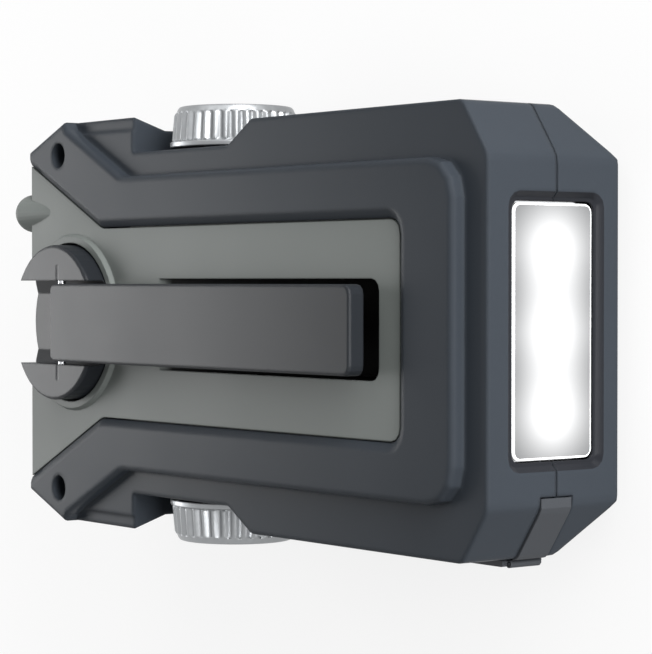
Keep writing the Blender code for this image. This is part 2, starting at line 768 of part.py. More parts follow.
def strap_layer(out, depth, margin):
    """A layer that follows the casing's chamfered corner at the port side of the nose."""
    low_x = NOSE_X - COVER_FROM_NOSE + COVER_KNUCKLE_RADIUS + GAP
    layer = box(low_x - margin, NOSE_X + OVERRUN + margin, -HALF_WIDTH - OVERRUN, margin - STRAP_STOP_Y,
                SPLIT_Z - STRAP_HALF_WIDTH - margin, SPLIT_Z + STRAP_HALF_WIDTH + margin)
    cut(layer, prism(inset(BODY_OUTLINE, depth), FLOOR_Z, CEILING_Z))
    if out is not None:
        keep(layer, prism(inset(BODY_OUTLINE, -out), FLOOR_Z, CEILING_Z))
        keep(layer, box(END_X, NOSE_X, -HALF_WIDTH - OVERRUN, 0, FLOOR_Z, CEILING_Z))
    return layer


def screw_post(low, high, place):
    """A round boss for one casing screw."""
    return cylinder(BOSS_RADIUS, low, high, *place, sides=SMALL_SIDES)


def ear_tube(side, low, high):
    """The round wall that closes the casing off from a lanyard hole."""
    radius = EAR_HOLE_RADIUS + EAR_TUBE_WALL
    return cylinder(radius, low, high, EAR_HOLE_X, side * EAR_HOLE_Y, sides=SMALL_SIDES)


def ear_hole(side, low, high):
    """A lanyard hole through one ear."""
    return cylinder(EAR_HOLE_RADIUS, low, high, EAR_HOLE_X, side * EAR_HOLE_Y, sides=SMALL_SIDES)


def beyond_split(low, high):
    """The room past the split that one half of the casing is cut back from."""
    reach = EAR_HALF_WIDTH + OVERRUN
    return box(END_X - OVERRUN, NOSE_X + OVERRUN, -reach, reach, low, high)


def end_wall_y(x):
    """How far out the casing's tapered end wall stands at a place along it."""
    return END_HALF_WIDTH + END_TAPER * (x - END_X) / EAR_CORNER_FROM_END


def make_back_frame():
    """Upper half of the rubbery frame: nose, shoulders, band and ears."""
    low_z = BACK_LOW_Z - OVERRUN
    frame = soften(prism(BODY_OUTLINE, low_z - OVERRUN, SHOULDER_Z), EDGE_RADIUS, EDGE_SEGMENTS,
                   at_level(SHOULDER_Z))
    flare_top = SHOULDER_Z - LIP
    flare = prism(FLARE_OUTLINE, SHOULDER_Z - EAR_DEPTH, flare_top)
    for vert in flare.data.vertices:
        if vert.co.z < flare_top - GAP:
            vert.co.y -= math.copysign(EAR_REACH + LIP, vert.co.y)
    flare = soften(flare, BAND_EDGE_RADIUS, EDGE_SEGMENTS, at_level(flare_top))
    band = soften(prism(BAND_OUTLINE, CEILING_Z, BAND_Z), BAND_EDGE_RADIUS, EDGE_SEGMENTS, at_level(BAND_Z))
    cavity = prism(inset(BODY_OUTLINE, WALL), low_z - 2 * OVERRUN, CEILING_Z)
    hollow = prism(BAND_HOLLOW, CEILING_Z - GAP, BAND_CEILING_Z)
    mouth = prism(panel_outline(OVERRUN), CEILING_Z - OVERRUN, PANEL_Z + GAP)
    slope_run = PANEL_SLOPE * (OVERRUN + BAND_Z - PANEL_Z) / (BAND_Z - PANEL_Z)
    slope = tapered(panel_outline(OVERRUN), slope_run, PANEL_Z, BAND_Z + OVERRUN)
    gap_half_width = PANEL_END_HALF_WIDTH - LIP + GAP
    end_gap = box(END_X - OVERRUN, END_X + WALL + OVERRUN, -gap_half_width, gap_half_width,
                  BACK_LOW_Z - OVERRUN, PANEL_Z)
    join(frame, flare, band)
    cut(frame, cavity, hollow)
    for x, y in END_SCREWS:
        join(frame, screw_post(low_z, END_BOSS_TOP_Z, (x, y)))
        ends = sorted((y, math.copysign(end_wall_y(x) - WALL / 2, y)))
        join(frame, box(x - WEB_THICKNESS / 2, x + WEB_THICKNESS / 2, *ends,
                        BACK_LOW_Z + LIP, END_BOSS_TOP_Z - LIP))
    join(frame, *[screw_post(low_z, BAND_CEILING_Z + LIP, place) for place in NOSE_SCREWS])
    join(frame, *[ear_tube(side, low_z, SHOULDER_Z - EDGE_RADIUS) for side in (-1, 1)])
    cut(frame, beyond_split(low_z - 2 * OVERRUN, BACK_LOW_Z))
    cut(frame, mouth, slope, end_gap, *lamp_cutters(), port_window(),
        strap_layer(None, STRAP_DEPTH + GAP, GAP))
    cut(frame, *[cylinder(SCREW_RADIUS + GAP, BACK_LOW_Z - OVERRUN, SCREW_TIP_Z + GAP, *place,
                          sides=SMALL_SIDES) for place in SCREW_PLACES])
    cut(frame, rod_along("X", SHEATH_RADIUS + GAP, TIP_X, NOSE_X - BAND_STOP_FROM_NOSE, AERIAL_Y, AERIAL_Z))
    for side in (-1, 1):
        cut(frame, knob_hole(side), ear_hole(side, BACK_LOW_Z - OVERRUN, BAND_Z + OVERRUN))
    return part(frame, "back_frame", SLATE)


def make_front_frame():
    """Lower half of the rubbery frame, with the rim that the part lies on."""
    high_z = FRONT_HIGH_Z + OVERRUN
    frame = soften(prism(BODY_OUTLINE, FRONT_EDGE_Z, high_z + OVERRUN), EDGE_RADIUS, EDGE_SEGMENTS,
                   at_level(FRONT_EDGE_Z))
    rim = soften(prism(FRONT_BAND_OUTLINE, 0, FLOOR_Z - LIP), BAND_EDGE_RADIUS, EDGE_SEGMENTS, at_level(0))
    cavity = prism(inset(BODY_OUTLINE, WALL), FLOOR_Z, high_z + 2 * OVERRUN)
    cut(cavity, flank_wedge(-1, WALL), flank_wedge(1, WALL))
    hollow = prism(inset(FRONT_BAND_OUTLINE, WALL), WALL, FLOOR_Z + GAP)
    mouth = prism(FRONT_PANEL_OUTLINE, -OVERRUN, FLOOR_Z)
    join(frame, rim)
    cut(frame, cavity, hollow, mouth)
    for place in SCREW_PLACES:
        join(frame, cylinder(BOSS_FOOT_RADIUS, LIP, BOSS_FOOT_TOP_Z, *place, sides=SMALL_SIDES))
        join(frame, screw_post(WALL, high_z, place))
    join(frame, *[ear_tube(side, FRONT_EDGE_Z + LIP, high_z) for side in (-1, 1)])
    cut(frame, beyond_split(FRONT_HIGH_Z, high_z + 2 * OVERRUN))
    cut(frame, flank_wedge(-1, 0), flank_wedge(1, 0))
    for place in SCREW_PLACES:
        cut(frame, cylinder(SCREW_RADIUS + GAP, -OVERRUN, SPLIT_Z + OVERRUN, *place, sides=SMALL_SIDES))
        cut(frame, cylinder(SCREW_HEAD_RADIUS + GAP, -OVERRUN, SCREW_HEAD_TOP_Z + GAP, *place,
                            sides=SMALL_SIDES))
    cut(frame, *lamp_cutters(), port_window(), strap_layer(None, STRAP_DEPTH + GAP, GAP))
    for side in (-1, 1):
        cut(frame, knob_hole(side), ear_hole(side, -OVERRUN, SPLIT_Z + OVERRUN))
    return part(frame, "front_frame", SLATE)


def make_back_panel():
    """Grey-green crank panel with its end wall, hub well, trough and aerial bump."""
    panel = prism(inset(panel_outline(OVERRUN), GAP), PANEL_Z - PANEL_THICKNESS, PANEL_Z)
    flange = prism(inset(panel_outline(GAP), -PANEL_FLANGE), FLANGE_Z, BAND_CEILING_Z - GAP)
    keep(flange, prism(inset(BAND_HOLLOW, GAP), FLANGE_Z - OVERRUN, BAND_Z))
    end_wall = box(END_X - OVERRUN, END_X + WALL, LIP - PANEL_END_HALF_WIDTH, PANEL_END_HALF_WIDTH - LIP,
                   BACK_LOW_Z, PANEL_Z - LIP)
    ring = cylinder(RING_RADIUS, PANEL_Z - PANEL_THICKNESS / 2, PANEL_Z + RING_RISE, HUB_X,
                    top_radius=RING_RADIUS - RING_RISE)
    well = cylinder(WELL_RADIUS + WELL_WALL, WELL_FLOOR_Z - WELL_WALL, PANEL_Z - LIP, HUB_X)
    trough = along_y(prism(inset(trough_side(TROUGH_FLOOR_Z, PANEL_Z - PANEL_THICKNESS), -TROUGH_WALL),
                           -TROUGH_HALF_WIDTH - TROUGH_WALL, TROUGH_HALF_WIDTH + TROUGH_WALL))
    groove = along_y(prism(trough_side(TROUGH_FLOOR_Z, PANEL_Z + OVERRUN),
                           -TROUGH_HALF_WIDTH, TROUGH_HALF_WIDTH))
    stop = NOSE_X - TROUGH_STOP_FROM_NOSE
    soften(groove, TROUGH_CORNER_RADIUS, EDGE_SEGMENTS,
           lambda place: abs(place.x - stop) < GAP and abs(place.y) > TROUGH_HALF_WIDTH / 2)
    bump = rod_along("X", BUMP_HALF_HEIGHT, TIP_X, END_X + BUMP_FADE_FROM_END, AERIAL_Y, BUMP_Z, SHAFT_SIDES)
    for vert in bump.data.vertices:
        vert.co.y = AERIAL_Y + (vert.co.y - AERIAL_Y) * BUMP_HALF_WIDTH / BUMP_HALF_HEIGHT
        if vert.co.x > END_X:
            vert.co.z -= (vert.co.z - BUMP_Z) * BUMP_FADE_SHARE
            vert.co.y -= (vert.co.y - AERIAL_Y) * BUMP_FADE_SHARE
    soften(bump, BUMP_ROUND, EDGE_SEGMENTS + 1, lambda place: place.x < TIP_X + GAP)
    bump_inside = box(END_X + WALL, NOSE_X, -HALF_WIDTH, HALF_WIDTH, 0, AERIAL_Z - SHEATH_RADIUS - LIP)
    cut(bump, bump_inside)
    join(panel, flange, end_wall, ring, well, trough)
    keep(panel, box(END_X, NOSE_X, -HALF_WIDTH, HALF_WIDTH, 0, BAND_Z + OVERRUN))
    join(panel, bump)
    top = BAND_Z + OVERRUN
    well_room = cylinder(WELL_RADIUS, WELL_FLOOR_Z, top, HUB_X)
    well_mouth = box(END_X - OVERRUN, HUB_X, -WELL_MOUTH_HALF_WIDTH, WELL_MOUTH_HALF_WIDTH, WELL_FLOOR_Z, top)
    bush_hole = cylinder(BUSH_RADIUS + GAP, WELL_FLOOR_Z - WELL_WALL - OVERRUN, top, HUB_X, sides=SHAFT_SIDES)
    cap_hole = rod_along("X", AERIAL_CAP_RADIUS + GAP, TIP_X - OVERRUN, TIP_X + AERIAL_CAP_LENGTH + OVERRUN,
                         AERIAL_Y, AERIAL_Z)
    sheath_hole = rod_along("X", SHEATH_RADIUS + GAP, SHEATH_START_X - GAP, NOSE_X, AERIAL_Y, AERIAL_Z)
    cut(panel, groove, well_room, well_mouth, bush_hole, cap_hole, sheath_hole)
    return part(panel, "back_panel", GREEN_GREY)


def make_front_panel():
    """Grey-green display panel with the speaker grille, window and key openings, and board posts."""
    panel = prism(inset(FRONT_PANEL_OUTLINE, GAP), FRONT_PANEL_Z, FRONT_PANEL_INNER_Z)
    flange = prism(inset(FRONT_PANEL_OUTLINE, -FRONT_FLANGE), WALL + GAP, WALL + GAP + FRONT_FLANGE_THICKNESS)
    hollow = prism(inset(FRONT_PANEL_OUTLINE, FRONT_FLANGE), FRONT_PANEL_INNER_Z, FLOOR_Z)
    cut(flange, hollow)
    join(panel, flange)
    board_high_x = NOSE_X - BOARD_FROM_NOSE
    for x in (board_high_x - BOARD_POST_INSET, board_high_x - BOARD_LENGTH + BOARD_POST_INSET):
        for y in (BOARD_POST_LOW_Y, BOARD_HIGH_Y - BOARD_POST_INSET):
            join(panel, cylinder(BOARD_POST_RADIUS, FRONT_PANEL_Z + LIP, BOARD_Z - GAP, x, y, sides=SMALL_SIDES))
    top = FRONT_PANEL_INNER_Z + OVERRUN
    for index in range(GRILLE_SLOT_COUNT):
        offset = GRILLE_PITCH * (index - (GRILLE_SLOT_COUNT - 1) / 2)
        half = math.sqrt(GRILLE_RADIUS ** 2 - offset ** 2)
        cut(panel, rounded_block(SPEAKER_X + offset - GRILLE_SLOT_WIDTH / 2, SPEAKER_X + offset + GRILLE_SLOT_WIDTH / 2,
                                 -half, half, -OVERRUN, top, GRILLE_SLOT_WIDTH / 3))
    cut(panel, window_block(GAP, -OVERRUN, top))
    for x in KEY_XS:
        cut(panel, key_block(x, GAP, -OVERRUN, top))
    return part(panel, "front_panel", GREEN_GREY)


def window_block(margin, low, high):
    """A block in the display window's rounded shape."""
    return rounded_block(WINDOW_X - WINDOW_LENGTH / 2 - margin, WINDOW_X + WINDOW_LENGTH / 2 + margin,
                         WINDOW_Y - WINDOW_HALF_WIDTH - margin, WINDOW_Y + WINDOW_HALF_WIDTH + margin,
                         low, high, WINDOW_RADIUS)


KEY_XS = [WINDOW_X + KEY_PITCH * (index - (KEY_COUNT - 1) / 2) for index in range(KEY_COUNT)]


def key_block(x, margin, low, high):
    """A block in the keys' rounded shape."""
    return rounded_block(x - KEY_HALF_LENGTH - margin, x + KEY_HALF_LENGTH + margin,
                         KEY_Y - KEY_HALF_WIDTH - margin, KEY_Y + KEY_HALF_WIDTH + margin, low, high, KEY_RADIUS)


def make_display():
    """Window, display and the five sprung keys with their switches."""
    low = FRONT_PANEL_Z + LIP / 2
    part(window_block(0, low, low + WINDOW_THICKNESS), "display_window", CLEAR)
    display_z = FRONT_PANEL_INNER_Z + GAP
    part(window_block(DISPLAY_MARGIN, display_z, display_z + DISPLAY_THICKNESS), "display", GLASS)
    top = BOARD_Z - GAP
    switches = []
    for name, x in zip(KEY_NAMES, KEY_XS):
        key = key_block(x, 0, FRONT_PANEL_Z - KEY_PROUD, display_z + LIP)
        soften(key, KEY_PROUD / 2, 1, at_level(FRONT_PANEL_Z - KEY_PROUD))
        join(key, key_block(x, KEY_FLANGE, display_z, display_z + KEY_FLANGE_THICKNESS))
        part(set_origin(key, (x, KEY_Y, FRONT_PANEL_Z)), name, DARK_PLASTIC)
        switches.append(box(x - SWITCH_HALF_SIZE, x + SWITCH_HALF_SIZE, KEY_Y - SWITCH_HALF_SIZE,
                            KEY_Y + SWITCH_HALF_SIZE, top - SWITCH_HEIGHT, top - SWITCH_HEIGHT / 4))
    strip = box(KEY_XS[0] - KEY_PITCH / 2, KEY_XS[-1] + KEY_PITCH / 2, KEY_Y - KEY_HALF_WIDTH - KEY_FLANGE,
                KEY_Y + KEY_HALF_WIDTH + KEY_FLANGE, top - SWITCH_HEIGHT / 2, top)
    part(join(strip, *switches), "key_switches", BLACK)


def make_lamp():
    """Lens, reflector with three bowls, lamp board and its three diodes."""
    lens = lamp_block(0, BEZEL_DEPTH, LENS_THICKNESS)
    join(lens, lamp_block(LENS_FLANGE, LENS_FLANGE_DEPTH, LENS_BACK - LENS_FLANGE_DEPTH))
    part(lens, "lamp_lens", CLEAR)
    reflector = lamp_block(REFLECTOR_MARGIN, REFLECTOR_FRONT, REFLECTOR_DEPTH)
    back_x = NOSE_X - REFLECTOR_FRONT - REFLECTOR_DEPTH
    front_x = NOSE_X - REFLECTOR_FRONT
    spread = (BOWL_RADIUS - BOWL_FOOT_RADIUS) / REFLECTOR_DEPTH
    for y in LAMP_YS:
        bowl = cylinder(BOWL_FOOT_RADIUS - spread * OVERRUN, back_x - OVERRUN, front_x + OVERRUN,
                        top_radius=BOWL_RADIUS + spread * OVERRUN, sides=SHAFT_SIDES)
        bowl.data.transform(Matrix.Translation((0, y, SPLIT_Z)) @ Matrix.Rotation(math.pi / 2, 4, "Y"))
        cut(reflector, bowl)
    part(reflector, "lamp_reflector", MIRROR)
    part(lamp_block(REFLECTOR_MARGIN, LAMP_BOARD_FRONT, LAMP_BOARD_THICKNESS), "lamp_board", BOARD)
    board_x = NOSE_X - LAMP_BOARD_FRONT + GAP / 2
    strip = box(board_x, board_x + LED_STRIP_HEIGHT, LAMP_YS[0] - BOWL_FOOT_RADIUS, LAMP_YS[-1] + BOWL_FOOT_RADIUS,
                SPLIT_Z - LED_RADIUS, SPLIT_Z + LED_RADIUS)
    for y in LAMP_YS:
        dome = rod_along("X", LED_RADIUS, board_x + LED_STRIP_HEIGHT / 2, board_x + LED_HEIGHT, y, SPLIT_Z)
        soften(dome, LED_RADIUS / 2, 2, lambda place: place.x > board_x + LED_STRIP_HEIGHT)
        join(strip, dome)
    part(strip, "lamp_diodes", LED)


def make_knob(side, name):
    """A ribbed silver knob on its shaft, and the rotary control inside the casing."""
    base = NOTCH_HALF_WIDTH + KNOB_SEAT
    face = base + KNOB_HEIGHT
    rib_top = face - KNOB_RIM_RISE
    outline = []
    for index in range(KNOB_RIB_COUNT):
        for share, radius in zip(KNOB_RIB_SHARES, (0, 1, 1, 0)):
            angle = math.tau * (index + share) / KNOB_RIB_COUNT
            reach = KNOB_RADIUS - KNOB_RIB_DEPTH + radius * KNOB_RIB_DEPTH
            outline.append((reach * math.cos(angle), reach * math.sin(angle), 0))
    knob = prism(outline, base + KNOB_RING_HEIGHT / 2, rib_top)
    ring = cylinder(KNOB_RADIUS + KNOB_RING_MARGIN, base, base + KNOB_RING_HEIGHT)
    cap = cylinder(KNOB_RADIUS - KNOB_RIB_DEPTH - KNOB_RING_MARGIN, rib_top - KNOB_RING_HEIGHT / 2, face,
                   top_radius=KNOB_RADIUS - KNOB_RIM)
    dish = cylinder(KNOB_RADIUS - 2 * KNOB_RIM, face - KNOB_DISH, face + OVERRUN,
                    top_radius=KNOB_RADIUS - KNOB_RIM)
    bore = cylinder(KNOB_SHAFT_RADIUS + GAP, base - OVERRUN, base + KNOB_BORE_DEPTH, sides=ROUND_SIDES // 2)
    turn = Matrix.Translation((KNOB_X, 0, SPLIT_Z)) @ Matrix.Rotation(-side * math.pi / 2, 4, "X")
    for piece in (knob, ring, cap, dish, bore):
        piece.data.transform(turn)
    join(knob, ring, cap)
    cut(knob, dish, bore)
    part(set_origin(knob, (KNOB_X, side * base, SPLIT_Z)), name + "_knob", SILVER)
    inner = NOTCH_HALF_WIDTH - WALL - GAP
    ends = sorted((side * (inner - POT_DEPTH + POT_FLOOR), side * (base + KNOB_BORE_DEPTH - GAP)))
    shaft = rod_along("Y", KNOB_SHAFT_RADIUS, *ends, KNOB_X, SPLIT_Z, ROUND_SIDES // 2)
    part(set_origin(shaft, (KNOB_X, side * base, SPLIT_Z)), name + "_shaft", STEEL)
    sides = sorted((side * (inner - POT_DEPTH), side * inner))
    control = box(KNOB_X - POT_HALF_SIZE, KNOB_X + POT_HALF_SIZE, *sides,
                  SPLIT_Z - POT_HALF_SIZE, SPLIT_Z + POT_HALF_SIZE)
    ends = sorted((side * (inner - POT_DEPTH + POT_FLOOR - GAP), side * (inner + OVERRUN)))
    cut(control, rod_along("Y", KNOB_SHAFT_RADIUS + GAP, *ends, KNOB_X, SPLIT_Z, ROUND_SIDES // 2))
    part(control, name + "_control", BLACK)


def make_crank():
    """Hub, folding arm, hinge pin, folding grip and grip pin."""
    hub = soften(cylinder(HUB_RADIUS, HUB_BASE_Z, HUB_TOP_Z, HUB_X), HUB_EDGE, 2, at_level(HUB_TOP_Z))
    slot = along_x(prism([
        (SLOT_FLOOR_HALF_WIDTH, SLOT_FLOOR_Z, 0), (SLOT_HALF_WIDTH, SLOT_LEDGE_Z, 0),
        (SLOT_HALF_WIDTH, HUB_TOP_Z + OVERRUN, 0), (-SLOT_HALF_WIDTH, HUB_TOP_Z + OVERRUN, 0),
        (-SLOT_HALF_WIDTH, SLOT_LEDGE_Z, 0), (-SLOT_FLOOR_HALF_WIDTH, SLOT_FLOOR_Z, 0),
    ], HUB_X - HUB_RADIUS - OVERRUN, HUB_X + HUB_RADIUS + OVERRUN))
    shaft_bore = cylinder(SHAFT_RADIUS + GAP, HUB_BASE_Z - OVERRUN, HUB_BORE_Z, HUB_X, sides=SHAFT_SIDES)
    pin_bore = rod_along("Y", HINGE_RADIUS + GAP, -HINGE_HALF_LENGTH - GAP, HINGE_HALF_LENGTH + GAP, HINGE_X, HINGE_Z)
    cut(hub, slot, shaft_bore, pin_bore)
    part(set_origin(hub, (HUB_X, 0, HUB_BASE_Z)), "crank_hub", DARK_PLASTIC)
    pin = rod_along("Y", HINGE_RADIUS, -HINGE_HALF_LENGTH, HINGE_HALF_LENGTH, HINGE_X, HINGE_Z)
    part(set_origin(pin, (HINGE_X, 0, HINGE_Z)), "hinge_pin", STEEL)

    tail_x = HINGE_X - ARM_TAIL
    arm = rounded_block(tail_x, ARM_STOP_X, -ARM_HALF_WIDTH, ARM_HALF_WIDTH, ARM_UNDERSIDE_Z, ARM_FACE_Z,
                        ARM_CORNER_RADIUS)
    soften(arm, ARM_EDGE, 2, at_level(ARM_FACE_Z))
    eye = rod_along("Y", HINGE_RADIUS + ARM_EYE_WALL, -ARM_HALF_WIDTH, ARM_HALF_WIDTH, HINGE_X, HINGE_Z)
    join(arm, eye)
    turning_room = along_y(prism([
        (tail_x - OVERRUN, ARM_FACE_Z - ARM_TAIL, 0), (tail_x + ARM_TAIL, ARM_FACE_Z + LIP, 0),
        (tail_x - OVERRUN, ARM_FACE_Z + OVERRUN, 0),
    ], -ARM_HALF_WIDTH - OVERRUN, ARM_HALF_WIDTH + OVERRUN))
    cut(arm, turning_room)
    pocket_top = ARM_FACE_Z - ARM_SKIN
    pocket_y = ARM_HALF_WIDTH - ARM_RIM
    first = HINGE_X + ARM_ROOT_LENGTH
    last = GRIP_X - GRIP_LENGTH - ARM_RIB_WIDTH - GAP
    cell = (last - first - ARM_RIB_WIDTH * (ARM_RIB_COUNT - 1)) / ARM_RIB_COUNT
    for index in range(ARM_RIB_COUNT):
        start = first + index * (cell + ARM_RIB_WIDTH)
        cut(arm, box(start, start + cell, -pocket_y, pocket_y, ARM_UNDERSIDE_Z - OVERRUN, pocket_top))
    cut(arm, box(last + ARM_RIB_WIDTH, ARM_STOP_X - ARM_RIM, -GRIP_HALF_WIDTH - GAP, GRIP_HALF_WIDTH + GAP,
                 ARM_UNDERSIDE_Z - OVERRUN, pocket_top))
    cut(arm, rod_along("Y", HINGE_RADIUS + RUNNING_GAP, -ARM_HALF_WIDTH - OVERRUN, ARM_HALF_WIDTH + OVERRUN,
                       HINGE_X, HINGE_Z))
    cut(arm, rod_along("Y", GRIP_PIN_RADIUS + GAP, GAP - ARM_HALF_WIDTH + LIP, ARM_HALF_WIDTH - LIP - GAP,
                       GRIP_X, GRIP_PIN_Z))
    part(set_origin(arm, (HINGE_X, 0, HINGE_Z)), "crank_arm", DARK_PLASTIC)

    low = GRIP_PIN_Z - GRIP_THICKNESS / 2
    grip = box(GRIP_X - GRIP_LENGTH, GRIP_X, -GRIP_HALF_WIDTH, GRIP_HALF_WIDTH, low, low + GRIP_THICKNESS)
    soften(grip, GRIP_EDGE, 2, lambda place: place.x < GRIP_X - GRIP_LENGTH / 2)
    join(grip, rod_along("Y", GRIP_THICKNESS / 2, -GRIP_HALF_WIDTH, GRIP_HALF_WIDTH, GRIP_X, GRIP_PIN_Z))
    for index in range(GRIP_RIB_COUNT):
        x = GRIP_X - GRIP_LENGTH / 3 - GRIP_RIB_PITCH * index
        cut(grip, box(x - GRIP_RIB_WIDTH, x, -GRIP_HALF_WIDTH - OVERRUN, GRIP_HALF_WIDTH + OVERRUN,
                      low - OVERRUN, low + GRIP_RIB_DEPTH))
    cut(grip, rod_along("Y", GRIP_PIN_RADIUS + RUNNING_GAP, -ARM_HALF_WIDTH, ARM_HALF_WIDTH, GRIP_X, GRIP_PIN_Z))
    part(set_origin(grip, (GRIP_X, 0, GRIP_PIN_Z)), "crank_grip", DARK_PLASTIC)
    half = ARM_HALF_WIDTH - LIP - 2 * GAP
    grip_pin = rod_along("Y", GRIP_PIN_RADIUS, -half, half, GRIP_X, GRIP_PIN_Z)
    part(set_origin(grip_pin, (GRIP_X, 0, GRIP_PIN_Z)), "grip_pin", STEEL)


def pitch_radius(teeth):
    """Half the pitch diameter of a gear."""
    return MODULE * teeth / 2


def neighbour(place, teeth, other_teeth, degrees):
    """The axis of a gear that meshes with another in a given direction."""
    reach = pitch_radius(teeth) + pitch_radius(other_teeth)
    angle = math.radians(degrees)
    return place[0] + reach * math.cos(angle), place[1] + reach * math.sin(angle)


def meshing_phase(phase, teeth, other_teeth, degrees):
    """The turn at which the second gear's gap faces the first gear's tooth."""
    angle = math.radians(degrees)
    return angle + math.pi - (phase - angle) * teeth / other_teeth + math.pi / other_teeth


def gear_prism(teeth, phase, place, low, high):
    """A spur gear with straight tooth flanks."""
    pitch = math.tau / teeth
    root = pitch_radius(teeth) - MODULE * DEDENDUM_SHARE
    tip = pitch_radius(teeth) + MODULE * ADDENDUM_SHARE
    outline = []
    for index in range(teeth):
        middle = phase + pitch * index
        for radius, share in ((root, -TOOTH_ROOT_SHARE), (tip, -TOOTH_TIP_SHARE), (tip, TOOTH_TIP_SHARE),
                              (root, TOOTH_ROOT_SHARE)):
            angle = middle + pitch * share
            outline.append((place[0] + radius * math.cos(angle), place[1] + radius * math.sin(angle), 0))
    return prism(outline, low, high)


HUB_PLACE = (HUB_X, 0.0)
FIRST_PLACE = neighbour(HUB_PLACE, DRIVE_TEETH, PINION_TEETH, FIRST_IDLER_ANGLE)
SECOND_PLACE = neighbour(FIRST_PLACE, FIRST_WHEEL_TEETH, PINION_TEETH, SECOND_IDLER_ANGLE)
ROTOR_PLACE = neighbour(SECOND_PLACE, SECOND_WHEEL_TEETH, PINION_TEETH, GENERATOR_ANGLE)
THIRD_LEVEL = GEAR_BASE_Z
SECOND_LEVEL = THIRD_LEVEL + GEAR_THICKNESS + GEAR_LEVEL_GAP
FIRST_LEVEL = SECOND_LEVEL + GEAR_THICKNESS + GEAR_LEVEL_GAP


def idler(name, place, wheel_teeth, phase, wheel_low, pinion_high):
    """A pinion and a wheel in one moulding, turning on a fixed pin."""
    wheel = gear_prism(wheel_teeth, phase, place, wheel_low, wheel_low + GEAR_THICKNESS)
    join(wheel, gear_prism(PINION_TEETH, phase, place, wheel_low + GEAR_THICKNESS / 2, pinion_high))
    cut(wheel, cylinder(IDLER_PIN_RADIUS + RUNNING_GAP, wheel_low - OVERRUN, pinion_high + OVERRUN, *place,
                        sides=SMALL_SIDES))
    part(set_origin(wheel, (*place, wheel_low)), name, GEAR)


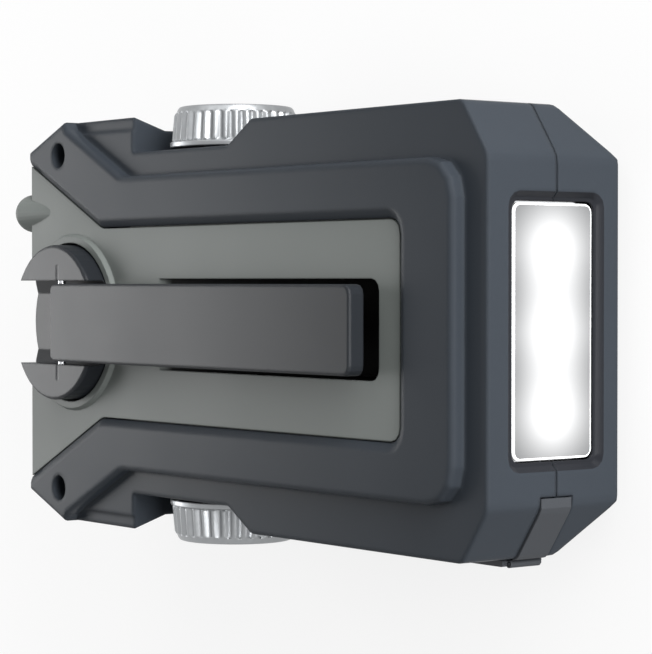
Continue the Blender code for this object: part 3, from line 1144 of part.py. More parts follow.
def make_gear_train():
    """Crank shaft, drive gear, two idlers, their pins, the gearbox plates and the generator."""
    bush = cylinder(BUSH_RADIUS, WELL_FLOOR_Z - WELL_WALL, WELL_FLOOR_Z, HUB_X, sides=SHAFT_SIDES)
    cut(bush, cylinder(SHAFT_RADIUS + RUNNING_GAP, COVER_Z, HUB_BASE_Z, HUB_X, sides=SHAFT_SIDES))
    part(bush, "shaft_bush", BRASS)
    shaft = cylinder(SHAFT_RADIUS, PLATE_Z, HUB_BORE_Z - GAP, HUB_X, sides=SHAFT_SIDES)
    part(set_origin(shaft, (HUB_X, 0, PLATE_Z)), "crank_shaft", STEEL)
    drive = gear_prism(DRIVE_TEETH, 0, HUB_PLACE, FIRST_LEVEL, FIRST_LEVEL + GEAR_THICKNESS)
    cut(drive, cylinder(SHAFT_RADIUS + GAP, FIRST_LEVEL - OVERRUN, COVER_Z, HUB_X, sides=SHAFT_SIDES))
    part(set_origin(drive, (HUB_X, 0, FIRST_LEVEL)), "drive_gear", GEAR)
    first_phase = meshing_phase(0, DRIVE_TEETH, PINION_TEETH, FIRST_IDLER_ANGLE)
    second_phase = meshing_phase(first_phase, FIRST_WHEEL_TEETH, PINION_TEETH, SECOND_IDLER_ANGLE)
    rotor_phase = meshing_phase(second_phase, SECOND_WHEEL_TEETH, PINION_TEETH, GENERATOR_ANGLE)
    idler("first_idler_gear", FIRST_PLACE, FIRST_WHEEL_TEETH, first_phase, SECOND_LEVEL,
          FIRST_LEVEL + GEAR_THICKNESS)
    idler("second_idler_gear", SECOND_PLACE, SECOND_WHEEL_TEETH, second_phase, THIRD_LEVEL,
          SECOND_LEVEL + GEAR_THICKNESS)

    low_x = HUB_X - GEARBOX_REACH
    high_x = ROTOR_PLACE[0] + GEARBOX_REACH
    plate = rounded_block(low_x, high_x, -GEARBOX_HALF_WIDTH, GEARBOX_HALF_WIDTH, PLATE_Z,
                          PLATE_Z + PLATE_THICKNESS, GEARBOX_POST_RADIUS)
    cover = rounded_block(low_x, high_x, -GEARBOX_HALF_WIDTH, GEARBOX_HALF_WIDTH, COVER_Z,
                          COVER_Z + COVER_THICKNESS, GEARBOX_POST_RADIUS)
    for x in (low_x + GEARBOX_POST_RADIUS, high_x - GEARBOX_POST_RADIUS):
        for y in (GEARBOX_POST_RADIUS - GEARBOX_HALF_WIDTH, GEARBOX_HALF_WIDTH - GEARBOX_POST_RADIUS):
            join(plate, cylinder(GEARBOX_POST_RADIUS - LIP, PLATE_Z + LIP, COVER_Z - GAP, x, y, sides=SMALL_SIDES))
    for piece in (plate, cover):
        cut(piece, cylinder(SHAFT_RADIUS + RUNNING_GAP, 0, PANEL_Z, HUB_X, sides=SHAFT_SIDES))
    for place in (FIRST_PLACE, SECOND_PLACE):
        join(plate, cylinder(IDLER_PIN_RADIUS, PLATE_Z + LIP, COVER_Z + COVER_THICKNESS, *place, sides=SMALL_SIDES))
        cut(cover, cylinder(IDLER_PIN_RADIUS + GAP, 0, PANEL_Z, *place, sides=SMALL_SIDES))
    cut(plate, cylinder(ROTOR_SHAFT_RADIUS + RUNNING_GAP, 0, PANEL_Z, *ROTOR_PLACE, sides=SMALL_SIDES))
    part(plate, "gearbox_plate", BLACK)
    part(cover, "gearbox_cover", BLACK)

    can = cylinder(GENERATOR_RADIUS, GENERATOR_Z, PLATE_Z - GAP, *ROTOR_PLACE, sides=SHAFT_SIDES)
    soften(can, HUB_EDGE, 1, at_level(GENERATOR_Z))
    rotor_low = PLATE_Z - GENERATOR_BORE_DEPTH
    cut(can, cylinder(ROTOR_SHAFT_RADIUS + RUNNING_GAP, rotor_low - GAP, PANEL_Z, *ROTOR_PLACE, sides=SMALL_SIDES))
    part(can, "generator", STEEL)
    rotor_top = THIRD_LEVEL + GEAR_THICKNESS
    rotor = cylinder(ROTOR_SHAFT_RADIUS, rotor_low, rotor_top, *ROTOR_PLACE, sides=SMALL_SIDES)
    part(set_origin(rotor, (*ROTOR_PLACE, rotor_low)), "rotor_shaft", STEEL)
    pinion = gear_prism(PINION_TEETH, rotor_phase, ROTOR_PLACE, THIRD_LEVEL, rotor_top)
    cut(pinion, cylinder(ROTOR_SHAFT_RADIUS + GAP, 0, PANEL_Z, *ROTOR_PLACE, sides=SMALL_SIDES))
    part(set_origin(pinion, (*ROTOR_PLACE, THIRD_LEVEL)), "generator_pinion", BRASS)


def make_aerial():
    """Three telescoping aerial sections that pull out of the bump."""
    sheath = rod_along("X", SHEATH_RADIUS, SHEATH_START_X, SHEATH_START_X + AERIAL_LENGTH, AERIAL_Y, AERIAL_Z)
    cut(sheath, rod_along("X", SHEATH_BORE, SHEATH_START_X - OVERRUN, SHEATH_START_X + AERIAL_LENGTH - LIP,
                          AERIAL_Y, AERIAL_Z))
    part(sheath, "aerial_sheath", STEEL)
    middle_x = TIP_X + LIP + AERIAL_CAP_LENGTH + GAP
    middle = rod_along("X", MIDDLE_RADIUS, middle_x, middle_x + AERIAL_LENGTH - AERIAL_STEP, AERIAL_Y, AERIAL_Z)
    cut(middle, rod_along("X", MIDDLE_BORE, middle_x - OVERRUN, middle_x + AERIAL_LENGTH - 2 * AERIAL_STEP,
                          AERIAL_Y, AERIAL_Z))
    part(set_origin(middle, (TIP_X, AERIAL_Y, AERIAL_Z)), "aerial_middle", STEEL)
    inner = rod_along("X", INNER_RADIUS, TIP_X + LIP, middle_x + AERIAL_LENGTH - 3 * AERIAL_STEP, AERIAL_Y, AERIAL_Z,
                      SMALL_SIDES // 2)
    cap = rod_along("X", AERIAL_CAP_RADIUS, TIP_X + LIP, TIP_X + LIP + AERIAL_CAP_LENGTH, AERIAL_Y, AERIAL_Z)
    join(cap, inner)
    part(set_origin(cap, (TIP_X, AERIAL_Y, AERIAL_Z)), "aerial_inner", STEEL)


def make_speaker():
    """Speaker basket, paper cone and magnet behind the grille."""
    low = FRONT_PANEL_INNER_Z + GAP
    high = low + SPEAKER_DEPTH
    mouth_radius = SPEAKER_RADIUS - SPEAKER_RIM
    cone_high = high - CONE_WALL
    basket = cylinder(SPEAKER_RADIUS, low, high, SPEAKER_X)
    steepness = (mouth_radius - CONE_FOOT_RADIUS) / (cone_high - low)
    cut(basket, cylinder(mouth_radius + steepness * OVERRUN, low - OVERRUN, cone_high, SPEAKER_X,
                         top_radius=CONE_FOOT_RADIUS, sides=SHAFT_SIDES))
    part(basket, "speaker_basket", BLACK)
    cone = cylinder(mouth_radius - CONE_WALL, low, cone_high - CONE_WALL, SPEAKER_X,
                    top_radius=CONE_FOOT_RADIUS - CONE_WALL, sides=SHAFT_SIDES)
    cut(cone, cylinder(mouth_radius - 2 * CONE_WALL + steepness * OVERRUN, low - OVERRUN,
                       cone_high - 3 * CONE_WALL, SPEAKER_X, top_radius=CONE_FOOT_RADIUS - CONE_WALL,
                       sides=SHAFT_SIDES))
    part(cone, "speaker_cone", PAPER)
    magnet_low = high + GAP
    part(cylinder(MAGNET_RADIUS, magnet_low, magnet_low + MAGNET_THICKNESS, SPEAKER_X, sides=SHAFT_SIDES),
         "speaker_magnet", STEEL)


def make_electronics():
    """Main board, battery in its cradle, ferrite aerial, charging port and its board."""
    high_x = NOSE_X - BOARD_FROM_NOSE
    part(box(high_x - BOARD_LENGTH, high_x, BOARD_LOW_Y, BOARD_HIGH_Y, BOARD_Z, BOARD_Z + BOARD_THICKNESS),
         "main_board", BOARD)
    cell_high = NOSE_X - CELL_FROM_NOSE
    cell_low = CELL_END_X
    cell = rod_along("X", CELL_RADIUS, cell_low, cell_high - CELL_CAP_HEIGHT, CELL_Y, CELL_Z, SHAFT_SIDES)
    join(cell, rod_along("X", CELL_CAP_RADIUS, cell_high - 2 * CELL_CAP_HEIGHT, cell_high, CELL_Y, CELL_Z))
    part(cell, "battery_cell", CELL)
    cradle = box(cell_low - GAP - CRADLE_WALL, cell_high + GAP + CRADLE_WALL, CELL_Y - CRADLE_HALF_WIDTH,
                 CELL_Y + CRADLE_HALF_WIDTH, FLOOR_Z + GAP, CELL_Z)
    cut(cradle, rod_along("X", CELL_RADIUS + GAP, cell_low - GAP, cell_high + GAP, CELL_Y, CELL_Z, SHAFT_SIDES))
    part(cradle, "battery_cradle", BLACK)

    rod_high = NOSE_X - ROD_FROM_NOSE
    rod_low = rod_high - ROD_LENGTH
    part(rod_along("X", ROD_RADIUS, rod_low, rod_high, ROD_Y, ROD_Z), "ferrite_rod", FERRITE)
    middle = (rod_low + rod_high) / 2
    coil = rod_along("X", COIL_RADIUS, middle - COIL_LENGTH / 2, middle + COIL_LENGTH / 2, ROD_Y, ROD_Z)
    cut(coil, rod_along("X", ROD_RADIUS + GAP, rod_low, rod_high, ROD_Y, ROD_Z))
    part(coil, "ferrite_coil", COPPER)
    bridge = box(rod_low, rod_high, ROD_Y - COIL_RADIUS, ROD_Y + COIL_RADIUS, ROD_Z + COIL_RADIUS + GAP,
                 FLANGE_Z - GAP)
    for x in (rod_low + 2 * ROD_HOLDER_WALL, rod_high - 2 * ROD_HOLDER_WALL):
        join(bridge, box(x - ROD_HOLDER_WALL / 2, x + ROD_HOLDER_WALL / 2, ROD_Y - COIL_RADIUS - LIP,
                         ROD_Y + COIL_RADIUS + LIP, ROD_Z - COIL_RADIUS, FLANGE_Z - LIP))
    cut(bridge, rod_along("X", ROD_RADIUS + GAP, rod_low - OVERRUN, rod_high + OVERRUN, ROD_Y, ROD_Z))
    part(bridge, "ferrite_holder", BLACK)

    mouth_y = WALL / 2 - HALF_WIDTH
    port = box(PORT_X - PORT_HALF_LENGTH, PORT_X + PORT_HALF_LENGTH, mouth_y, mouth_y + PORT_DEPTH,
               SPLIT_Z - PORT_HALF_HEIGHT, SPLIT_Z + PORT_HALF_HEIGHT)
    cut(port, box(PORT_X - PORT_HALF_LENGTH + PORT_WALL, PORT_X + PORT_HALF_LENGTH - PORT_WALL,
                  mouth_y - OVERRUN, mouth_y + PORT_DEPTH - PORT_WALL,
                  SPLIT_Z - PORT_HALF_HEIGHT + PORT_WALL, SPLIT_Z + PORT_HALF_HEIGHT - PORT_WALL))
    part(port, "charging_port", STEEL)
    board_top = SPLIT_Z - PORT_HALF_HEIGHT - GAP
    low_y = WALL + PORT_BOARD_INSET - HALF_WIDTH
    part(box(PORT_X - PORT_BOARD_LENGTH / 2, PORT_X + PORT_BOARD_LENGTH / 2, low_y, low_y + PORT_BOARD_DEPTH,
             board_top - BOARD_THICKNESS, board_top), "port_board", BOARD)


def make_port_cover():
    """Rubber flap over the charging port, its pin, and the strap that holds it over the nose corner."""
    axis_x = NOSE_X - COVER_FROM_NOSE
    axis_y = -HALF_WIDTH - GAP - COVER_KNUCKLE_RADIUS
    low_z = SPLIT_Z - COVER_HALF_HEIGHT
    high_z = SPLIT_Z + COVER_HALF_HEIGHT
    flap = rounded_block(axis_x - COVER_LENGTH, axis_x - COVER_KNUCKLE_RADIUS / 2,
                         -HALF_WIDTH - GAP - COVER_RISE, -HALF_WIDTH - GAP, low_z, high_z, COVER_EDGE)
    knuckle = cylinder(COVER_KNUCKLE_RADIUS, SPLIT_Z - STRAP_HALF_WIDTH, SPLIT_Z + STRAP_HALF_WIDTH, axis_x, axis_y,
                       sides=SMALL_SIDES)
    join(flap, knuckle)
    cut(flap, cylinder(COVER_PIN_RADIUS + RUNNING_GAP / 2, low_z, high_z, axis_x, axis_y, sides=SMALL_SIDES // 2))
    part(set_origin(flap, (axis_x, axis_y, SPLIT_Z)), "port_cover", RUBBER)
    pin = cylinder(COVER_PIN_RADIUS, SPLIT_Z - STRAP_HALF_WIDTH, SPLIT_Z + STRAP_HALF_WIDTH, axis_x, axis_y,
                   sides=SMALL_SIDES // 2)
    part(set_origin(pin, (axis_x, axis_y, SPLIT_Z)), "port_cover_pin", RUBBER)
    strap = strap_layer(STRAP_RISE, STRAP_DEPTH, 0)
    part(strap, "port_strap", RUBBER)


def make_screws():
    """Four casing screws."""
    for name, place in zip(SCREW_NAMES, SCREW_PLACES):
        low = SCREW_HEAD_TOP_Z - SCREW_HEAD_HEIGHT
        screw = cylinder(SCREW_HEAD_RADIUS, low, SCREW_HEAD_TOP_Z, *place, sides=SMALL_SIDES)
        join(screw, cylinder(SCREW_RADIUS, SCREW_HEAD_TOP_Z - LIP, SCREW_TIP_Z, *place, sides=SMALL_SIDES))
        x, y = place
        high = SCREW_HEAD_TOP_Z - SCREW_HEAD_HEIGHT / 2
        reach = SCREW_HEAD_RADIUS * SCREW_SLOT_SHARE
        cut(screw, box(x - reach, x + reach, y - SCREW_SLOT_HALF_WIDTH, y + SCREW_SLOT_HALF_WIDTH,
                       low - OVERRUN, high))
        cut(screw, box(x - SCREW_SLOT_HALF_WIDTH, x + SCREW_SLOT_HALF_WIDTH, y - reach, y + reach,
                       low - OVERRUN, high))
        part(screw, name, STEEL)


make_back_frame()
make_front_frame()
make_back_panel()
make_front_panel()
make_display()
make_lamp()
make_knob(1, "tuning")
make_knob(-1, "volume")
make_crank()
make_gear_train()
make_aerial()
make_speaker()
make_electronics()
make_port_cover()
make_screws()
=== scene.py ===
# %% [markdown]
# # A hand crank radio with a lamp in its nose
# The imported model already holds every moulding, gear and screw in its place. This lesson dresses it: first
# the camera, then the finishes, then finer versions of the pieces that the eye rests on, and last the floor
# and the lamps.

# %% Load the model
import json
import math

import bmesh
import bpy
from mathutils import Matrix, Vector


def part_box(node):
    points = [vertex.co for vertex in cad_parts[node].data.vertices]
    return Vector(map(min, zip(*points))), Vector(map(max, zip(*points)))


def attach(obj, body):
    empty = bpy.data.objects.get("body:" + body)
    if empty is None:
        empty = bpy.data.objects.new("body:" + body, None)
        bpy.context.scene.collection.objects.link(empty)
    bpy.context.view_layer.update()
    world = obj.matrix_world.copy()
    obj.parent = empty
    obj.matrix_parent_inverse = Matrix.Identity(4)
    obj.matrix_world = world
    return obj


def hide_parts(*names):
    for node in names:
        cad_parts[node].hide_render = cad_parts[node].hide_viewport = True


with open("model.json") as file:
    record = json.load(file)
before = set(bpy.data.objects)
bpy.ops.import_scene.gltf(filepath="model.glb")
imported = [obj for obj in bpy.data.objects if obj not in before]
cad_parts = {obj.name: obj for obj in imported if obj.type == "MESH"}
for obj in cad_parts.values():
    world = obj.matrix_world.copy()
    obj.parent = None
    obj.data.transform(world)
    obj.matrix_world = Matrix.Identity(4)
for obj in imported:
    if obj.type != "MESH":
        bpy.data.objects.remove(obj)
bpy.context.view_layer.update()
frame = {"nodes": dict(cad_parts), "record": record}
nodes = frame["nodes"]
print("model loaded:", len(nodes), "nodes")

# %% [markdown]
# ## Camera
# The radio lies on its display face and is seen from beyond the lamp, from above, with the camera on its
# side so that the long side runs across the picture. A long lens keeps the perspective gentle. A constraint
# could aim the camera, but a matrix made of three directions also fixes its roll.

# %% Camera
CAMERA_PLACE = Vector((0.38785, 0.00874, 0.30120))
CAMERA_TILT = math.radians(53.0)
CAMERA_DIP = math.radians(1.09)
CAMERA_LENS = 132.7
SENSOR_WIDTH = 36
NEAREST_SEEN = 0.01

straight = Vector((-math.sin(CAMERA_TILT), 0, -math.cos(CAMERA_TILT)))
across = Vector((0, 1, 0))
look = straight * math.cos(CAMERA_DIP) - across * math.sin(CAMERA_DIP)
upward = across * math.cos(CAMERA_DIP) + straight * math.sin(CAMERA_DIP)
right = look.cross(upward)
camera_data = bpy.data.cameras.new("camera")
camera_data.sensor_width = SENSOR_WIDTH
camera_data.lens = CAMERA_LENS
camera_data.clip_start = NEAREST_SEEN
camera = bpy.data.objects.new("camera", camera_data)
camera.matrix_world = Matrix((
    (right.x, upward.x, -look.x, CAMERA_PLACE.x),
    (right.y, upward.y, -look.y, CAMERA_PLACE.y),
    (right.z, upward.z, -look.z, CAMERA_PLACE.z),
    (0, 0, 0, 1)))
bpy.context.scene.collection.objects.link(camera)
bpy.context.scene.camera = camera
bpy.context.scene.view_settings.view_transform = "Standard"
print("camera at", [round(value, 3) for value in CAMERA_PLACE])


# %% [markdown]
# ## Shader helpers
# A material is a small graph. It could be wired one link at a time, but with short helpers for nodes, wires
# and groups each finish reads as a recipe.

# %% Shader helpers
def add(tree, kind, **settings):
    """A new node with its settings and the defaults of its sockets."""
    node = tree.nodes.new(kind)
    for name, value in settings.items():
        if name in node.inputs:
            node.inputs[name].default_value = value
        else:
            setattr(node, name, value)
    return node


def wire(tree, *pairs):
    """Links, given as one output socket and one input socket after another."""
    for start, end in zip(pairs[::2], pairs[1::2]):
        tree.links.new(start, end)


def new_group(name, inputs, outputs):
    """An empty shader group with named sockets: floats by default, colours where a 4-tuple is given."""
    group = bpy.data.node_groups.new(name, "ShaderNodeTree")
    for label, value in inputs.items():
        kind = "NodeSocketColor" if isinstance(value, tuple) else "NodeSocketFloat"
        socket = group.interface.new_socket(name=label, in_out="INPUT", socket_type=kind)
        socket.default_value = value
    for label, kind in outputs.items():
        group.interface.new_socket(name=label, in_out="OUTPUT", socket_type=kind)
    return group, group.nodes.new("NodeGroupInput"), group.nodes.new("NodeGroupOutput")


# %% [markdown]
# ## Noise as variation
# Both patterns below move a colour and a roughness a little by a noise. A noise hovers round a half, so it
# is first moved down to hover round zero, and then it darkens a surface as much as it lightens it.

# %% Variation helpers
NOISE_MIDDLE = 0.5


def from_middle(group, noise):
    """A noise moved down so that it hovers round zero."""
    centred = add(group, "ShaderNodeMath", operation="SUBTRACT")
    centred.inputs[1].default_value = NOISE_MIDDLE
    wire(group, noise.outputs["Fac"], centred.inputs[0])
    return centred.outputs[0]


def vary(group, given, result, change):
    """The group's colour and roughness, moved by a number that changes over the surface."""
    tone = add(group, "ShaderNodeMath", operation="MULTIPLY_ADD")
    tone.inputs[2].default_value = 1.0
    tinted = add(group, "ShaderNodeVectorMath", operation="SCALE")
    polish = add(group, "ShaderNodeMath", operation="MULTIPLY_ADD")
    wire(group, change, tone.inputs[0], given.outputs["Tone Change"], tone.inputs[1],
         given.outputs["Colour"], tinted.inputs[0], tone.outputs[0], tinted.inputs["Scale"],
         tinted.outputs["Vector"], result.inputs["Colour"])
    wire(group, change, polish.inputs[0], given.outputs["Roughness Change"], polish.inputs[1],
         given.outputs["Roughness"], polish.inputs[2], polish.outputs[0], result.inputs["Roughness"])


# %% [markdown]
# ## Moulded grain
# A moulded shell is never one flat colour. Fine spark-eroded grain catches the light, the tone drifts
# slowly, and fingers polish it in places. All three come from noise on Object coordinates, which needs no
# picture of a real surface and stays on the piece when it moves.

# %% Moulded grain
DRIFT_SCALE = 38.0


def build_grain():
    """Slow drift of tone and polish with a fine grain on top."""
    group, given, result = new_group(
        "moulded grain",
        {"Colour": (0.5, 0.5, 0.5, 1.0), "Tone Change": 0.1, "Roughness": 0.5, "Roughness Change": 0.1,
         "Grain Scale": 3000.0, "Grain Share": 0.3},
        {"Colour": "NodeSocketColor", "Roughness": "NodeSocketFloat", "Height": "NodeSocketFloat"})
    place = add(group, "ShaderNodeTexCoord").outputs["Object"]
    drift = add(group, "ShaderNodeTexNoise", Scale=DRIFT_SCALE, Detail=3.0)
    grain = add(group, "ShaderNodeTexNoise", Detail=2.0)
    speck = add(group, "ShaderNodeMath", operation="MULTIPLY")
    both = add(group, "ShaderNodeMath", operation="ADD")
    wire(group, place, drift.inputs["Vector"], place, grain.inputs["Vector"],
         given.outputs["Grain Scale"], grain.inputs["Scale"], grain.outputs["Fac"], result.inputs["Height"])
    wire(group, from_middle(group, grain), speck.inputs[0], given.outputs["Grain Share"], speck.inputs[1],
         from_middle(group, drift), both.inputs[0], speck.outputs[0], both.inputs[1])
    vary(group, given, result, both.outputs[0])
    return group


GRAIN = build_grain()
print("group made:", GRAIN.name)


# %% [markdown]
# ## Drawn metal
# Turned and drawn metal shows fine lines along one direction. A Wave texture would repeat them too evenly,
# so a noise is stretched instead: along X it gives lines on the aerial, and with an even scale it gives the
# soft sparkle of a blasted or plated part.

# %% Drawn metal
def build_lines():
    """Fine lines: a noise that is stretched by unlike scales on the three axes."""
    group, given, result = new_group(
        "drawn lines",
        {"Colour": (0.6, 0.6, 0.6, 1.0), "Tone Change": 0.1, "Roughness": 0.3, "Roughness Change": 0.1,
         "Along": 100.0, "Across": 3000.0},
        {"Colour": "NodeSocketColor", "Roughness": "NodeSocketFloat", "Height": "NodeSocketFloat"})
    place = add(group, "ShaderNodeTexCoord").outputs["Object"]
    scales = add(group, "ShaderNodeCombineXYZ")
    stretched = add(group, "ShaderNodeVectorMath", operation="MULTIPLY")
    lines = add(group, "ShaderNodeTexNoise", Scale=1.0, Detail=3.0)
    wire(group, given.outputs["Along"], scales.inputs["X"], given.outputs["Across"], scales.inputs["Y"],
         given.outputs["Across"], scales.inputs["Z"])
    wire(group, place, stretched.inputs[0], scales.outputs[0], stretched.inputs[1],
         stretched.outputs[0], lines.inputs["Vector"], lines.outputs["Fac"], result.inputs["Height"])
    vary(group, given, result, from_middle(group, lines))
    return group


LINES = build_lines()
print("group made:", LINES.name)


# %% [markdown]
# ## Painted shade in the recess
# In the picture the finger recess under the arm is black, deep in shade, while the shell round it is pale.
# The shade is painted into the shell's colour. A imported mesh can't be given a second finish on some of its
# faces, so a mask in the material does it. Below the lip the colour fades to black as painted shade, but
# only between the side walls of the recess and ahead of its start, so the outer end of the shell stays pale.
# Of the three answers, the largest is the share of the colour that is kept.

# %% Painted shade in the recess
SHELL_FACE_Z = 0.0350
# Painted shade: from this depth under the shell's face the colour turns black in the recess.
SHADE_START_DEPTH = 0.0009
PAINTED_SHADE_TOP = SHELL_FACE_Z - SHADE_START_DEPTH
HOLLOW_FADE = 0.0005
HOLLOW_HALF_WIDTH = 0.0112
HOLLOW_START_X = -0.026


def build_recess_shade():
    """A colour that turns black below a height, within the recess alone: painted shade."""
    group, given, result = new_group("painted recess shade", {"Colour": (0.5, 0.5, 0.5, 1.0), "Top": 0.03},
                                     {"Colour": "NodeSocketColor"})
    place = add(group, "ShaderNodeSeparateXYZ")
    above = add(group, "ShaderNodeMath", operation="SUBTRACT")
    share = add(group, "ShaderNodeMath", operation="DIVIDE", use_clamp=True)
    share.inputs[1].default_value = HOLLOW_FADE
    off_middle = add(group, "ShaderNodeMath", operation="ABSOLUTE")
    beside = add(group, "ShaderNodeMath", operation="GREATER_THAN")
    beside.inputs[1].default_value = HOLLOW_HALF_WIDTH
    behind = add(group, "ShaderNodeMath", operation="LESS_THAN")
    behind.inputs[1].default_value = HOLLOW_START_X
    outside = add(group, "ShaderNodeMath", operation="MAXIMUM")
    kept = add(group, "ShaderNodeMath", operation="MAXIMUM")
    tinted = add(group, "ShaderNodeVectorMath", operation="SCALE")
    wire(group, add(group, "ShaderNodeTexCoord").outputs["Object"], place.inputs[0],
         place.outputs["Z"], above.inputs[0], given.outputs["Top"], above.inputs[1],
         above.outputs[0], share.inputs[0])
    wire(group, place.outputs["Y"], off_middle.inputs[0], off_middle.outputs[0], beside.inputs[0],
         place.outputs["X"], behind.inputs[0],
         beside.outputs[0], outside.inputs[0], behind.outputs[0], outside.inputs[1])
    wire(group, outside.outputs[0], kept.inputs[0], share.outputs[0], kept.inputs[1],
         given.outputs["Colour"], tinted.inputs[0], kept.outputs[0], tinted.inputs["Scale"],
         tinted.outputs["Vector"], result.inputs["Colour"])
    return group


RECESS_SHADE_GROUP = build_recess_shade()
# The height below which the recess is painted black as shade.
print("recess is black below", round(PAINTED_SHADE_TOP, 4))


# %% [markdown]
# ## One recipe for solid finishes
# Every opaque finish is a Principled shader fed by one of the two patterns, with its own bump. Values that
# are the same all over, such as Metallic, sit on the shader's own sockets. A mould never leaves a knife
# edge. More faces could round it, but a Bevel node bends the normals near the edge and costs none.

# %% Solid finishes
EDGE_RADIUS = 0.00035
BEVEL_SAMPLES = 4
BUMP_HEIGHT = 0.00002
PLASTIC_POLISH_CHANGE = 0.16
PLASTIC_GRAIN_SHARE = 0.5
METAL_TONE_CHANGE = 0.2
METAL_POLISH_CHANGE = 0.25


def finish(name, group, values, bump=0.0, edge=EDGE_RADIUS, dark_below=None, **shader_values):
    """A material: group values in, Principled shader out, with painted shade in the recess if its height is
    given.
    """
    material = bpy.data.materials.new(name)
    material.use_nodes = True
    tree = material.node_tree
    shader = tree.nodes["Principled BSDF"]
    for label, value in shader_values.items():
        shader.inputs[label.replace("_", " ")].default_value = value
    pattern = add(tree, "ShaderNodeGroup", node_tree=group)
    for label, value in values.items():
        pattern.inputs[label].default_value = (*value, 1.0) if isinstance(value, tuple) else value
    colour = pattern.outputs["Colour"]
    # Painted shade: the colour fades to black inside the recess.
    if dark_below:
        depth = add(tree, "ShaderNodeGroup", node_tree=RECESS_SHADE_GROUP, Top=dark_below)
        wire(tree, colour, depth.inputs["Colour"])
        colour = depth.outputs["Colour"]
    wire(tree, colour, shader.inputs["Base Color"], pattern.outputs["Roughness"], shader.inputs["Roughness"])
    softened = add(tree, "ShaderNodeBevel", Radius=edge, samples=BEVEL_SAMPLES)
    relief = add(tree, "ShaderNodeBump", Strength=bump, Distance=BUMP_HEIGHT)
    wire(tree, pattern.outputs["Height"], relief.inputs["Height"],
         softened.outputs["Normal"], relief.inputs["Normal"],
         relief.outputs["Normal"], shader.inputs["Normal"])
    return material


def plastic(name, colour, roughness, tone=0.12, bump=0.25, grain=2600.0, gloss=0.3, **more):
    """A moulded plastic or rubber, whose gloss is the shader's specular level."""
    values = {"Colour": colour, "Tone Change": tone, "Roughness": roughness,
              "Roughness Change": PLASTIC_POLISH_CHANGE, "Grain Scale": grain,
              "Grain Share": PLASTIC_GRAIN_SHARE}
    return finish(name, GRAIN, values, bump, Specular_IOR_Level=gloss, **more)


def metal(name, colour, roughness, along, across, bump=0.12):
    """A drawn, turned or plated metal."""
    values = {"Colour": colour, "Tone Change": METAL_TONE_CHANGE, "Roughness": roughness,
              "Roughness Change": METAL_POLISH_CHANGE, "Along": along, "Across": across}
    return finish(name, LINES, values, bump, Metallic=1.0)


SHELL_LOOK = {"colour": (0.138, 0.151, 0.144), "roughness": 0.44, "tone": 0.08, "gloss": 0.10}
FINISHES = {
    "slate_rubber": plastic("slate soft touch", (0.028, 0.033, 0.040), 0.34, gloss=0.05, edge=0.0012),
    "green_grey_shell": plastic("green grey shell", **SHELL_LOOK),
    # The crank side's shell, with painted shade in its recess.
    "shell_with_painted_shade": plastic("green grey shell with painted recess shade", **SHELL_LOOK, dark_below=PAINTED_SHADE_TOP),
    "dark_plastic": plastic("dark satin plastic", (0.015, 0.017, 0.020), 0.33, tone=0.10, gloss=0.11,
                            edge=0.0005),
    "black_plastic": plastic("black plastic", (0.006, 0.006, 0.007), 0.5, gloss=0.05),
    "silver_knob": metal("silver knob", (0.30, 0.31, 0.32), 0.40, 900.0, 900.0, bump=0.05),
    "steel": metal("drawn steel", (0.56, 0.57, 0.59), 0.26, 60.0, 3500.0),
    "brass": metal("turned brass", (0.70, 0.50, 0.20), 0.3, 300.0, 2500.0),
    "copper_wire": metal("enamelled copper", (0.58, 0.24, 0.10), 0.32, 4200.0, 60.0, bump=0.4),
    "reflector": metal("metallised reflector", (0.86, 0.87, 0.89), 0.10, 400.0, 400.0, bump=0.03),
    "board": plastic("circuit board", (0.012, 0.11, 0.045), 0.42, tone=0.3),
    "gear_nylon": plastic("natural nylon", (0.74, 0.73, 0.67), 0.42, tone=0.08, Subsurface_Weight=0.1),
    "ferrite": plastic("sintered ferrite", (0.06, 0.055, 0.055), 0.6, tone=0.4, bump=0.6),
    "cell_sleeve": plastic("shrink sleeve", (0.04, 0.15, 0.34), 0.3, tone=0.1, bump=0.1, grain=600.0),
    "speaker_cone": plastic("pressed paper", (0.03, 0.03, 0.03), 0.85, tone=0.5, bump=0.8, grain=1500.0),
    "display_glass": plastic("unlit display", (0.23, 0.27, 0.23), 0.18, tone=0.04, bump=0.0),
    "port_rubber": plastic("black rubber", (0.028, 0.031, 0.036), 0.62, tone=0.2, bump=0.5),
}
print("finishes made:", len(FINISHES))


# %% [markdown]
# ## Glowing lamp
# The lamp is on in the picture. The whole pane glows, and it burns out in three places, which are taken as
# three diodes behind one lens. Real lamps behind a clear pane need many samples to render cleanly, so the
# pane itself shines, with a strength that falls off round each diode.

# %% Lamp glow
LENS_LOW, LENS_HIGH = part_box("lamp_lens")
LAMP_Z = (LENS_LOW.z + LENS_HIGH.z) / 2
DIODE_YS = (-0.014, 0.0, 0.014)
FALLOFF_POWER = 2.0


